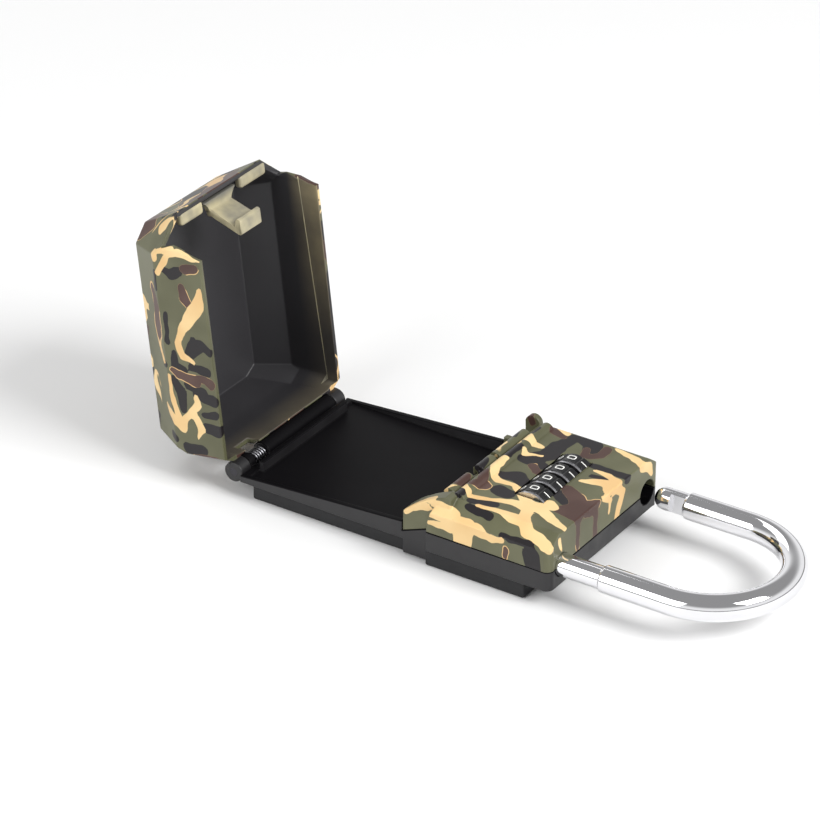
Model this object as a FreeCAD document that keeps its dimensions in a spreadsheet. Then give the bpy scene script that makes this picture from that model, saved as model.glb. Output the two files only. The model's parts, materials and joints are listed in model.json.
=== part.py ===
import FreeCAD, Part
import math
import os
import re

import Sketcher

# Portable key lock box: a shallow black tray on a soft pad, a coated combination head with
# four dials at one end, a deep faceted lid hinged at the other, and a steel shackle that
# pulls out of the head and swings on its long leg.
# Origin: centre of the pad's underside. +X from the hinge to the shackle, +Z up, mm.
# Rest: lid open, shackle pulled out and level, every dial on zero.

doc = FreeCAD.newDocument("key_lock_box")
sheet = doc.addObject("Spreadsheet::Sheet", "sizes")

SIZES = {
    # pad and base
    "pad_length": 117.5, "pad_thick": 6.4, "pad_tray_in": 1.8, "pad_lock_in": 0.9,
    "tray_end_over": 4.25, "front_over": 10.85, "lock_length": 51.0, "ear_length": 11.3,
    "body_half": 37.0, "tray_in": 2.6, "band_low": 2.85, "band_high": 7.9, "front_round": 3.0,
    "floor_thick": 2.2, "flank_wall": 2.0, "tray_wall_top": 12.8, "tray_wall_thick": 2.0,
    "tray_wall_back": 3.3, "skirt_base": 0.8, "pad_step_back": 0.9, "fit_gap": 0.3,
    # combination head
    "cover_wall": 2.2, "cover_side": 8.2, "cover_rise": 5.06, "crown_in": 6.4,
    "rear_wall_set": 3.4, "rear_wall": 1.8, "step_depth": 5.4,
    "step_drop": 2.0, "rear_foot": 0.4, "rear_brow": 1.7, "rear_crown": 3.7,
    "bead_radius": 2.7, "stub_radius": 2.4, "bead_low": 1.0, "bead_in": 4.8, "block_height": 4.0,
    "ear_top": 28.8, "ear_thick": 5.9, "ear_skin": 2.0, "ear_low": 9.9, "ear_arc": 50.0,
    "ear_tip_up": 8.1, "ear_wall": 1.6, "lobe_radius": 3.0, "lobe_from_bead": 7.9,
    "lobe_up": 25.4, "lobe_foot": 1.6, "lobe_thick": 2.4,
    "slot_back": 6.0, "slot_front": 6.1, "slot_half": 16.3,
    "screw_radius": 1.5, "screw_head_radius": 2.8, "screw_head_high": 1.8, "screw_length": 12.0,
    "drive_radius": 1.1, "drive_deep": 1.0, "thread_gap": 0.02, "boss_radius": 3.4,
    "front_screw_half": 6.0, "back_screw_in": 6.2, "back_screw_inner": 12.0,
    "back_screw_side": 9.0,
    # dials
    "dial_height": 21.0, "dial_radius": 8.6, "dial_pitch": 8.32,
    "dial_width": 5.4, "disc_width": 1.2, "disc_radius": 8.2, "sleeve_radius": 3.9,
    "spindle_radius": 1.5, "spindle_half": 19.0, "turn_gap": 0.05, "scallop_radius": 1.0,
    "scallop_depth": 0.35, "digit_lead": 3.0, "notch_width": 3.2, "notch_depth": 1.5,
    "cheek_thick": 2.0, "cheek_half": 3.2, "cheek_drop": 4.0,
    # code fence, click spring, toe bolt, reset lever
    "fence_width": 2.4, "fence_high": 2.8, "fence_before": 2.5, "fence_after": 0.5,
    "tooth_width": 1.0, "click_thick": 0.4, "click_room": 0.5, "click_root": 3.0, "click_over": 1.0,
    "click_slit": 0.8, "toe_bolt_in": 5.6, "toe_bolt_width": 3.0, "toe_bolt_high": 3.8,
    "toe_bolt_length": 8.0, "toe_spring_room": 5.0, "reset_travel": 3.0, "reset_tab": 3.0,
    "reset_near": 17.0, "reset_low": 17.4, "reset_high": 2.0, "reset_reach": 1.4,
    "reset_thick": 1.2, "reset_rim": 2.0, "reset_play": 0.2,
    # shackle
    "leg_in": 7.9, "leg_height": 14.5, "rod_radius": 5.0, "leg_radius": 4.2,
    "toe_bore": 4.7, "bow_start": 42.2, "step_out": 17.0, "toe_out": 3.7, "knob_length": 7.2,
    "notch_length": 6.0, "notch_flat": 1.9, "heel_reach": 5.3, "groove_radius": 3.0,
    "groove_width": 2.6, "head_length": 2.0,
    # latch slide
    "latch_thick": 1.9, "latch_low": 21.9, "latch_nose": 3.6, "nose_half": 5.5,
    "arm_inside": 5.1, "arm_outside": 1.9, "latch_link": 2.0, "link_gap": 0.6,
    "link_play": 0.1, "latch_cross_wide": 3.2, "fork_thick": 2.0, "fork_half": 4.8,
    "fork_drop": 3.5,
    # springs
    "shackle_wire": 0.45, "shackle_coil": 3.2, "shackle_turns": 9.0, "small_wire": 0.25,
    "small_coil": 1.2, "small_turns": 4.0, "hinge_wire": 0.4, "hinge_coil": 2.55,
    "hinge_turns": 5.0, "hinge_play": 0.6,
    # lid, in its own axes: along from the hinge, across, and up from the rim
    "lid_wall": 2.2, "lid_deep": 35.0, "lid_step": 17.0, "lid_side_top": 21.0,
    "rim_gap": 0.6, "lid_front_over": 3.5, "lid_full_over": 11.7, "lid_front_in": 15.0,
    "lid_side_in": 8.5, "lid_end_in": 11.2, "lid_corner_slope": 0.848,
    "lid_back_front": 1.7, "lid_back_in": 15.0, "lid_back_slope": 0.51,
    "lid_back_mid": -1.5, "lid_back_mid_in": 7.5, "lid_back_low": -0.8,
    "lid_overhang": 0.2, "skirt_low": 4.5, "skirt_high": 8.2, "skirt_depth": 0.4,
    "spring_notch_high": 5.5, "rim_lean": 0.7, "rim_lean_up": 3.5,
    "rim_bulge_over": 3.6, "rim_bulge_up": 12.6, "rim_bulge_in": 0.6, "rim_bulge_drop": 2.4,
    "rim_top_in": 1.4, "seam_gap": 0.35, "lid_open_angle": 92.87,
    "rib_deep": 3.7, "rib_bite": 0.6, "rib_high": 2.2, "rib_slant": 0.8,
    # hook on the lid
    "hook_root_over": 1.7, "hook_tip_over": 2.7, "hook_low": 4.0, "hook_plate_half": 9.7,
    "hook_plate_thick": 2.0, "hook_half": 6.25, "hook_flare": 1.6, "hook_flare_arc": 8.0,
    "hook_back": 1.3, "hook_nose_long": 5.9, "hook_lip": 2.2, "hook_web": 2.6,
    "hook_neck": 2.8, "hook_foot": 3.6,
    # hinge, knuckles and pin
    "hinge_back": 3.57, "hinge_height": 8.94, "knuckle_radius": 3.8, "knuckle_gap": 0.3,
    "pin_radius": 1.5, "barrel_in": 1.5, "knuckle_length": 5.9, "spring_slot": 8.4,
    "spring_slot_in": 3.0,
}

for row, (word, value) in enumerate(SIZES.items(), start=1):
    sheet.set("A%d" % row, word)
    sheet.set("B%d" % row, "%.6g" % value)
    sheet.setAlias("B%d" % row, word)
doc.recompute()


# widths and lengths that follow from the sizes
RULES = {
    "back_screw_outer": "(body_half - back_screw_side)",
    "latch_arm_in": "(leg_half - arm_inside)",
    "latch_arm_out": "(leg_half + arm_outside)",
    "leg_half": "(body_half - leg_in)",
    "spring_slot_start": "(spring_slot_in - barrel_half)",
    "barrel_half": "(tray_half - knuckle_length - barrel_in)",
    "bead_half": "(tray_half - bead_in)",
    "pad_tray_half": "(tray_half - pad_tray_in)",
    "tray_half": "(body_half - tray_in)",
    "pad_lock_half": "(body_half - pad_lock_in)",
    "cover_top_half": "(body_half - crown_in)",
    "lid_front_half": "(body_half - lid_front_in)",
    "lid_front_side": "(body_half - lid_side_in)",
    "lid_end_half": "(body_half - lid_end_in)",
    "lid_back_half": "(body_half - lid_back_in)",
    "lid_back_mid_half": "(body_half - lid_back_mid_in)",
    "hook_root": "(rim_end + hook_root_over)",
    "hook_tip": "(rim_end + hook_tip_over)",
    "rim_bulge": "(rim_end + rim_bulge_over)",
    "lid_front_length": "(rim_end + lid_front_over)",
    "lid_full_length": "(rim_end + lid_full_over)",
    "rim_end": "(pad_length + front_over - lock_length + tray_end_over + lid_overhang - rim_gap)",
}


def terms(text):
    # rules are written out, then every size is read from the sheet
    for word, rule in RULES.items():
        text = re.sub(r"\b%s\b" % word, rule, text)
    return re.sub(r"[a-z_]+[a-z]", lambda m: "sizes." + m[0] if m[0] in SIZES else m[0], text)


def number(text):
    value = sheet.evalExpression(terms(text))
    return float(getattr(value, "Value", value))


def bind(item, prop, text):
    item.setExpression(prop, terms(text))


# places that several pieces share
TRAY_END = "(-pad_length / 2 - tray_end_over)"
FRONT = "(pad_length / 2 + front_over)"
SHOULDER = "(" + FRONT + " - lock_length)"
EAR_END = "(" + SHOULDER + " - ear_length)"
REAR_WALL = "(" + SHOULDER + " + rear_wall_set)"
CAVITY_BACK = "(" + REAR_WALL + " + rear_wall)"
DIAL_X = "(" + SHOULDER + " + step_out + latch_nose + fit_gap + dial_radius)"
CAVITY_FRONT = "(" + DIAL_X + " + dial_radius + click_thick + click_room)"
FRONT_BLOCK = "(" + FRONT + " - " + CAVITY_FRONT + ")"
SEAM = "(pad_thick + band_high)"
FLOOR = "(pad_thick + floor_thick)"
WALL_TOP = "(" + SEAM + " + cover_side)"
COVER_TOP = "(" + WALL_TOP + " + cover_rise)"
CEILING = "(" + COVER_TOP + " - cover_wall)"
BEAD_X = "(" + REAR_WALL + " + step_depth)"
HINGE_X = "(" + TRAY_END + " - hinge_back)"
LATCH_TOP = "(latch_low + latch_thick)"


def block(name, low, high):
    # a box between two corners given as expressions
    item = doc.addObject("Part::Box", name)
    for prop, start, end in zip(("Length", "Width", "Height"), low, high):
        bind(item, prop, "(%s) - (%s)" % (end, start))
    for axis, start in zip("xyz", low):
        bind(item, "Placement.Base." + axis, start)
    return item


AXIS_TURN = {
    "x": FreeCAD.Rotation(FreeCAD.Vector(0, 1, 0), 90),
    "y": FreeCAD.Rotation(FreeCAD.Vector(1, 0, 0), -90),
    "z": FreeCAD.Rotation(),
}


def rod(name, axis, start, radius, length):
    # a cylinder from a start point along +x, +y or +z
    item = doc.addObject("Part::Cylinder", name)
    item.Placement = FreeCAD.Placement(FreeCAD.Vector(), AXIS_TURN[axis])
    for letter, place in zip("xyz", start):
        bind(item, "Placement.Base." + letter, place)
    bind(item, "Radius", radius)
    bind(item, "Height", length)
    return item


def fuse(name, items):
    joined = doc.addObject("Part::MultiFuse", name)
    joined.Shapes = items
    joined.Refine = True
    return joined


def cut(name, base, tools):
    tool = tools[0] if len(tools) == 1 else fuse(name + "_cuts", tools)
    result = doc.addObject("Part::Cut", name)
    result.Base = base
    result.Tool = tool
    result.Refine = True
    return result


def common(name, base, tool):
    result = doc.addObject("Part::Common", name)
    result.Base = base
    result.Tool = tool
    return result


def origin_plane(body, role):
    for feature in body.Origin.OriginFeatures:
        if feature.Role == role:
            return feature


def outline(body, name, plane, corners, lift="0"):
    # a closed outline; a corner with a third entry is reached by an arc of that radius,
    # anticlockwise where it is positive
    sketch = body.newObject("Sketcher::SketchObject", name)
    sketch.AttachmentSupport = [(origin_plane(body, plane), "")]
    sketch.MapMode = "FlatFace"
    bind(sketch, "AttachmentOffset.Base.z", lift)
    places = [FreeCAD.Vector(number(corner[0]), number(corner[1]), 0) for corner in corners]
    count = len(corners)
    starts = []
    ends = []
    for index in range(count):
        here = places[index]
        ahead = places[(index + 1) % count]
        target = corners[(index + 1) % count]
        if len(target) == 2:
            sketch.addGeometry(Part.LineSegment(here, ahead))
            starts.append(1)
            ends.append(2)
            continue
        bend = number(target[2])
        first, last = (here, ahead) if bend > 0 else (ahead, here)
        chord = last - first
        side = FreeCAD.Vector(-chord.y, chord.x, 0).normalize()
        reach = math.sqrt(bend ** 2 - (chord.Length / 2) ** 2)
        centre = (first + last) * 0.5 + side * reach
        turn = [math.atan2(spot.y - centre.y, spot.x - centre.x) for spot in (first, last)]
        circle = Part.Circle(centre, FreeCAD.Vector(0, 0, 1), abs(bend))
        sketch.addGeometry(Part.ArcOfCircle(circle, turn[0], turn[1]))
        starts.append(1 if bend > 0 else 2)
        ends.append(2 if bend > 0 else 1)
        key = sketch.addConstraint(Sketcher.Constraint("Radius", index, abs(bend)))
        sketch.renameConstraint(key, "bend%d" % index)
        bind(sketch, "Constraints.bend%d" % index, "abs(%s)" % target[2])
    for index in range(count):
        following = (index + 1) % count
        sketch.addConstraint(
            Sketcher.Constraint("Coincident", index, ends[index], following, starts[following]))
        for kind, letter, entry in (("DistanceX", "x", 0), ("DistanceY", "y", 1)):
            spot = getattr(places[index], letter)
            key = sketch.addConstraint(Sketcher.Constraint(kind, index, starts[index], spot))
            sketch.renameConstraint(key, "%s%d" % (letter, index))
            bind(sketch, "Constraints.%s%d" % (letter, index), corners[index][entry])
    return sketch


def pad(body, name, sketch, length, middle=False, back=False):
    feature = body.newObject("PartDesign::Pad", name)
    feature.Profile = sketch
    feature.Midplane = middle
    feature.Reversed = back
    bind(feature, "Length", length)
    body.Tip = feature
    return feature


def pocket(body, name, sketch, length, middle=False, back=False):
    feature = body.newObject("PartDesign::Pocket", name)
    feature.Profile = sketch
    feature.Midplane = middle
    feature.Reversed = back
    bind(feature, "Length", length)
    body.Tip = feature
    return feature


def new_body(name):
    return doc.addObject("PartDesign::Body", name)


def prism(name, plane, corners, length, lift="0", middle=True):
    body = new_body(name)
    pad(body, name + "_pad", outline(body, name + "_outline", plane, corners, lift), length, middle)
    return body


parts = []


def finish(item, node):
    item.Label = node
    parts.append(item)
    return item


def shape_part(node, shape):
    item = doc.addObject("Part::Feature", node + "_solid")
    item.Shape = shape
    return finish(item, node)


# springs: a helix drawn as tangent arcs, two to each quarter turn
def tangent_arc(start, heading, end):
    chord = end - start
    along = chord.normalize() if chord.Length else chord
    chord = end - start
    aside = heading - along * heading.dot(along)
    if aside.Length < 1e-6:
        return Part.LineSegment(start, end).toShape()
    bend = math.acos(max(-1.0, min(1.0, heading.dot(along))))
    middle = start + chord * 0.5 + aside.normalize() * (chord.Length / 2 * math.tan(bend / 2))
    return Part.Arc(start, middle, end).toShape()


def joined_arcs(start, heading, end, leaving):
    # two arcs that meet tangent to each other
    span = end - start
    both = heading + leaving
    spread = 2 * (1 - heading.dot(leaving))
    along = span.dot(both)
    reach = (-along + math.sqrt(along ** 2 + spread * span.dot(span))) / spread
    meet = (start + end) * 0.5 + (heading - leaving) * (reach / 2)
    back = tangent_arc(end, leaving * -1, meet)
    return [tangent_arc(start, heading, meet), back]


def helix_points(coil, turns, length, quarters):
    spots = []
    for step in range(quarters + 1):
        angle = step * math.pi / 2
        rise = length * step / quarters
        slope = length / (turns * 2 * math.pi)
        spot = FreeCAD.Vector(coil * math.cos(angle), coil * math.sin(angle), rise)
        heading = FreeCAD.Vector(-coil * math.sin(angle), coil * math.cos(angle), slope)
        spots.append((spot, heading.normalize()))
    return spots


def spring(node, wire, coil, turns, length, place):
    # one unbroken wire, wound along its own z axis
    quarters = int(round(turns * 4))
    spots = helix_points(coil, turns, length, quarters)
    edges = []
    for (start, heading), (end, leaving) in zip(spots, spots[1:]):
        edges.extend(joined_arcs(start, heading, end, leaving))
    path = Part.Wire(Part.__sortEdges__(edges))
    ring = Part.Wire(Part.Circle(spots[0][0], spots[0][1], wire).toShape())
    shell = Part.BRepOffsetAPI.MakePipeShell(path)
    shell.add(ring)
    shell.build()
    shell.makeSolid()
    item = shape_part(node, shell.shape())
    item.Placement = place
    gap = length / turns - 2 * wire
    print(node, "gap between turns", round(gap, 2), "mm")
    return item


# pad under the whole box
pad_body = new_body("pad_body")
PAD_STEP = "(" + SHOULDER + " - pad_step_back)"
pad(pad_body, "pad_slab", outline(pad_body, "pad_outline", "XY_Plane", [
    ("-pad_length / 2", "-pad_tray_half"), (EAR_END + " - fit_gap", "-pad_tray_half"),
    (EAR_END + " - fit_gap", "-pad_tray_half + fit_gap"),
    (PAD_STEP, "-pad_tray_half + fit_gap"), (PAD_STEP, "-pad_lock_half"),
    ("pad_length / 2", "-pad_lock_half"), ("pad_length / 2", "pad_lock_half"),
    (PAD_STEP, "pad_lock_half"), (PAD_STEP, "pad_tray_half - fit_gap"),
    (EAR_END + " - fit_gap", "pad_tray_half - fit_gap"), (EAR_END + " - fit_gap", "pad_tray_half"),
    ("-pad_length / 2", "pad_tray_half"),
]), "pad_thick")
finish(pad_body, "back_pad")

# base: sloped tray, lock bed, hinge barrel
tray = prism("tray_blank", "XZ_Plane", [
    (TRAY_END, "pad_thick"), (SHOULDER, "pad_thick"), (SHOULDER, SEAM),
    (TRAY_END, "pad_thick + band_low"),
], "2 * tray_half")


def rounded_head(name, back, low, height):
    # the head's outline from above, with rounded front corners
    return prism(name, "XY_Plane", [
        (back, "-body_half"), (FRONT + " - front_round", "-body_half"),
        (FRONT, "-body_half + front_round", "front_round"),
        (FRONT, "body_half - front_round"),
        (FRONT + " - front_round", "body_half", "front_round"), (back, "body_half"),
    ], height, low, False)


bed = rounded_head("lock_bed", SHOULDER, "pad_thick", "band_high")
skirts = [
    block("skirt_near", (EAR_END, "-tray_half", "skirt_base"),
          (PAD_STEP + " - fit_gap", "-pad_tray_half", "pad_thick")),
    block("skirt_far", (EAR_END, "pad_tray_half", "skirt_base"),
          (PAD_STEP + " - fit_gap", "tray_half", "pad_thick")),
]
WALL_X = "(" + TRAY_END + " + tray_wall_back)"
hinge_wall = block("tray_end_wall", (WALL_X, "-barrel_half", "pad_thick"),
                   (WALL_X + " + tray_wall_thick", "barrel_half", "tray_wall_top"))
barrel = rod("hinge_barrel", "y", (HINGE_X, "-barrel_half", "hinge_height"),
             "knuckle_radius", "2 * barrel_half")
barrel_web = block("barrel_web", (HINGE_X, "-barrel_half", "pad_thick - 0.6"),
                   (TRAY_END + " + 0.5", "barrel_half", "hinge_height"))
SCREW_PLACES = [
    (FRONT + " - %s / 2" % FRONT_BLOCK, "-front_screw_half"),
    (FRONT + " - %s / 2" % FRONT_BLOCK, "front_screw_half"),
    (CAVITY_BACK + " + back_screw_in", "back_screw_inner"),
    (CAVITY_BACK + " + back_screw_in", "back_screw_outer"),
]
base_tray = cut("tray_hollowed", fuse("tray_and_bed", [tray, bed] + skirts), [
    block("tray_hollow", (WALL_X, "-tray_half + flank_wall", FLOOR),
          (REAR_WALL + " - 0.4", "tray_half - flank_wall", SEAM + " + 5")),
    block("lock_hollow", (CAVITY_BACK, "-body_half + cover_wall", FLOOR),
          (CAVITY_FRONT, "body_half - cover_wall", SEAM + " + 5")),
    prism("ear_seat", "XZ_Plane", [
        (EAR_END + " - 0.4", "ear_low"), (EAR_END, "ear_low"), (SHOULDER, SEAM),
        (SHOULDER, SEAM + " + 2"), (EAR_END + " - 0.4", SEAM + " + 2"),
    ], "2 * tray_half + 1"),
])
base_bosses = []
boss_holes = []
for index, (x, y) in enumerate(SCREW_PLACES):
    base_bosses.append(rod("base_boss_%d" % index, "z", (x, y, FLOOR), "boss_radius",
                           "band_high - floor_thick"))
    boss_holes.append(rod("boss_hole_%d" % index, "z", (x, y, "pad_thick - 1"),
                          "screw_radius + turn_gap", "band_high + 2"))
    boss_holes.append(rod("head_seat_%d" % index, "z", (x, y, "pad_thick - 1"),
                          "screw_head_radius + turn_gap", "screw_head_high + 1"))


def leg_bores(tag):
    # both leg holes lie half in the base and half in the cover
    return [
        rod("heel_bore_" + tag, "x", (CAVITY_FRONT + " - 1", "-leg_half", "leg_height"),
            "leg_radius + turn_gap", FRONT_BLOCK + " + 2"),
        rod("toe_bore_" + tag, "x", (CAVITY_FRONT + " - 1", "leg_half", "leg_height"),
            "toe_bore", FRONT_BLOCK + " + 2"),
    ]


TOE_BOLT_X = "(" + FRONT + " - toe_bolt_in)"
TOE_TIP_Y = "(leg_half - leg_radius - fit_gap)"
TOE_SPRING_Y = "(" + TOE_TIP_Y + " - toe_bolt_length - toe_spring_room)"


def toe_channel(tag):
    # the bolt's guide, split between base and cover
    return block("toe_channel_" + tag,
                 (TOE_BOLT_X + " - turn_gap", TOE_SPRING_Y,
                  "leg_height - toe_bolt_high / 2 - turn_gap"),
                 (TOE_BOLT_X + " + toe_bolt_width + turn_gap", "leg_half - leg_radius + 1",
                  "leg_height + toe_bolt_high / 2 + turn_gap"))


base_blank = fuse("base_joined", [base_tray, hinge_wall, barrel, barrel_web] + base_bosses)
base = cut("base_solid", base_blank, [
    rod("pin_bore", "y", (HINGE_X, "-body_half", "hinge_height"), "pin_radius + turn_gap",
        "2 * body_half"),
    rod("spring_gap", "y", (HINGE_X, "spring_slot_start", "hinge_height"),
        "knuckle_radius + knuckle_gap", "spring_slot"),
    rod("knuckle_gap_near", "y", (HINGE_X, "-barrel_half - knuckle_length - 2 * knuckle_gap",
                                  "hinge_height"),
        "knuckle_radius + knuckle_gap", "knuckle_length + 2 * knuckle_gap"),
    rod("knuckle_gap_far", "y", (HINGE_X, "barrel_half", "hinge_height"),
        "knuckle_radius + knuckle_gap", "knuckle_length + 2 * knuckle_gap"),
    toe_channel("base"),
] + leg_bores("base") + boss_holes)
finish(base, "base_body")

# coated cover of the combination head
head_profile = prism("cover_section", "YZ_Plane", [
    ("-body_half", SEAM), ("body_half", SEAM), ("body_half", WALL_TOP),
    ("cover_top_half", COVER_TOP), ("-cover_top_half", COVER_TOP), ("-body_half", WALL_TOP),
], "lock_length", SHOULDER, False)
head_side = prism("cover_side_view", "XZ_Plane", [
    (SHOULDER, SEAM), (FRONT, SEAM), (FRONT, COVER_TOP + " + 1"),
    (SHOULDER + " + rear_crown", COVER_TOP + " + 1"), (SHOULDER + " + rear_brow", WALL_TOP),
    (SHOULDER + " + rear_foot", SEAM + " + cover_side / 2"),
], "2 * body_half + 2")
head = common("cover_blank", common("cover_crossed", head_profile, head_side),
              rounded_head("cover_plan", SHOULDER + " - 1", "pad_thick", COVER_TOP))
head_cuts = [
    block("behind_wall", (SHOULDER + " - 1", "-tray_half", SEAM + " - 1"),
          (REAR_WALL, "tray_half", COVER_TOP + " + 2")),
    block("behind_bead", (REAR_WALL + " - 1", "-body_half", COVER_TOP + " - step_drop"),
          (BEAD_X, "body_half", COVER_TOP + " + 2")),
]
INNER_SIDE = "(body_half - cover_wall)"
CHAMFER = "atan((body_half - cover_top_half) / cover_rise)"
hollow_profile = prism("head_hollow", "YZ_Plane", [
    ("-" + INNER_SIDE, SEAM + " - 1"), (INNER_SIDE, SEAM + " - 1"),
    (INNER_SIDE, WALL_TOP + " - cover_wall * tan(%s / 2)" % CHAMFER),
    ("cover_top_half - cover_wall * tan((90 deg - %s) / 2)" % CHAMFER, CEILING),
    ("-cover_top_half + cover_wall * tan((90 deg - %s) / 2)" % CHAMFER, CEILING),
    ("-" + INNER_SIDE, WALL_TOP + " - cover_wall * tan(%s / 2)" % CHAMFER),
], CAVITY_FRONT + " - " + CAVITY_BACK, CAVITY_BACK, False)
hollow_low = cut("head_hollow_cleared", hollow_profile, [
    block("low_ceiling", (CAVITY_BACK + " - 1", "-body_half", LATCH_TOP + " + fit_gap"),
          (BEAD_X + " + fit_gap", "body_half", COVER_TOP + " + 1")),
])

BEAD_Z = "(" + COVER_TOP + " - bead_low)"
BLOCK_LOW = "(" + LATCH_TOP + " + fit_gap)"
beads = [rod("front_bead", "y", (BEAD_X, "-bead_half", BEAD_Z), "bead_radius", "2 * bead_half")]
# stubs on top of the rear wall, each from one place to another across the head
for index, (start, end) in enumerate((("-27", "-14"), ("-8", "1"), ("3", "23"))):
    beads.append(block("bead_block_%d" % index,
                       (REAR_WALL + " - stub_radius", start, BLOCK_LOW),
                       (REAR_WALL + " + stub_radius", end, BLOCK_LOW + " + stub_radius")))
    beads.append(rod("bead_round_%d" % index, "y",
                     (REAR_WALL, start, BLOCK_LOW + " + block_height - stub_radius"),
                     "stub_radius", "%s - (%s)" % (end, start)))

# the near ear ramps up to the bead, the far one ends in a round lobe
EAR_FOOT = [(EAR_END, "ear_low"), (SHOULDER, SEAM), (BEAD_X, SEAM)]
RAMP = EAR_FOOT + [(BEAD_X, "ear_top"), (BEAD_X + " - bead_radius", "ear_top"),
                   (EAR_END, "ear_low + ear_tip_up", "ear_arc")]
EAR_BACK = "(" + REAR_WALL + " - ear_wall)"
EAR_ROOF = "(ear_top - 2 * ear_wall)"
RAMP_INSIDE = [
    (EAR_END + " + ear_wall", SEAM + " + ear_wall"), (EAR_BACK, SEAM + " + ear_wall"),
    (EAR_BACK, EAR_ROOF), (EAR_END + " + ear_wall", "ear_low + ear_tip_up", "ear_arc"),
]
LOBE_X = "(" + BEAD_X + " - lobe_from_bead)"
LOBE = EAR_FOOT + [
    (BEAD_X, WALL_TOP), (LOBE_X + " + lobe_radius", WALL_TOP),
    (LOBE_X + " + lobe_radius", "lobe_up"), (LOBE_X, "lobe_up + lobe_radius", "lobe_radius"),
    (LOBE_X + " - lobe_radius", "lobe_up", "lobe_radius"),
    (LOBE_X + " - lobe_radius", SEAM + " + lobe_foot"), (EAR_END, SEAM + " + lobe_foot"),
]


def ear_side(name, corners, side, reach, thick):
    # a slab from one side of the head inwards
    body = new_body(name)
    sketch = outline(body, name + "_outline", "XZ_Plane", corners, "%s(%s)" % (side, reach))
    pad(body, name + "_pad", sketch, thick, back=(side == ""))
    return body


ears = [ear_side("ear_near", RAMP, "", "tray_half", "ear_thick"),
        ear_side("ear_far", LOBE, "-", "tray_half", "lobe_thick")]
ear_pocket = ear_side("ear_pocket", RAMP_INSIDE, "", "tray_half - ear_skin", "ear_thick")
head_shell = cut("head_shell",
                 fuse("head_outside", [cut("head_stepped", head, head_cuts)] + beads + ears),
                 [hollow_low, ear_pocket])

cheeks = []
for tag, start in (("near", "-slot_half - fit_gap - cheek_thick"), ("far", "slot_half + fit_gap")):
    cheeks.append(block("cheek_" + tag,
                        (DIAL_X + " - cheek_half", start, "dial_height - cheek_drop"),
                        (DIAL_X + " + cheek_half", start + " + cheek_thick",
                         CEILING + " + cover_wall / 2")))
cover_bosses = [rod("cover_boss_%d" % index, "z", (x, y, SEAM), "boss_radius",
                    "cover_side + cover_rise - cover_wall / 2")
                for index, (x, y) in enumerate(SCREW_PLACES[2:])]
cover_holes = leg_bores("cover") + [
    block("dial_slot", (DIAL_X + " - slot_back", "-slot_half", CEILING + " - 1"),
          (DIAL_X + " + slot_front", "slot_half", COVER_TOP + " + 2")),
    rod("dial_room", "y", (DIAL_X, "-slot_half", "dial_height"), "dial_radius + fit_gap",
        "2 * slot_half"),
    rod("spindle_bore", "y", (DIAL_X, "-slot_half - cheek_thick - 1", "dial_height"),
        "spindle_radius + turn_gap", "2 * slot_half + 2 * cheek_thick + 2"),
    toe_channel("cover"),
    block("nose_window", (REAR_WALL + " - 3", "-slot_half - latch_link - fit_gap",
                          "latch_low - fit_gap"),
          (CAVITY_BACK + " + 1", "nose_half + fit_gap", BLOCK_LOW)),
    block("reset_window", (REAR_WALL + " - 3", "reset_near - fit_gap", "reset_low - fit_gap"),
          (CAVITY_BACK + " + 1", "reset_near + reset_tab + reset_travel + fit_gap",
           "reset_low + reset_high + fit_gap")),
]
for index, (x, y) in enumerate(SCREW_PLACES):
    cover_holes.append(rod("screw_thread_%d" % index, "z", (x, y, SEAM + " - 1"),
                           "screw_radius + thread_gap",
                           "screw_length - band_high + screw_head_high + 2"))
finish(cut("cover_solid", fuse("cover_joined", [head_shell] + cheeks + cover_bosses), cover_holes),
       "lock_cover")

# four screws from below hold the cover down
screws = []
for index, (x, y) in enumerate(SCREW_PLACES):
    screws.append(rod("screw_head_%d" % index, "z", (x, y, "pad_thick"), "screw_head_radius",
                      "screw_head_high"))
    screws.append(rod("screw_shank_%d" % index, "z", (x, y, "pad_thick"), "screw_radius",
                      "screw_length"))
screw_drives = [rod("screw_drive_%d" % index, "z", (x, y, "pad_thick - 1"), "drive_radius",
                    "drive_deep + 1")
                for index, (x, y) in enumerate(SCREW_PLACES)]
finish(cut("screw_solids", fuse("screw_blanks", screws), screw_drives), "cover_screws")

# dial stack on its spindle
finish(rod("spindle", "y", (DIAL_X, "-spindle_half", "dial_height"), "spindle_radius",
           "2 * spindle_half"), "dial_spindle")


def dial_start(index):
    # near face of a dial's click disc
    return "(%g * dial_pitch - (dial_width + disc_width) / 2)" % (index - 1.5)


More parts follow.
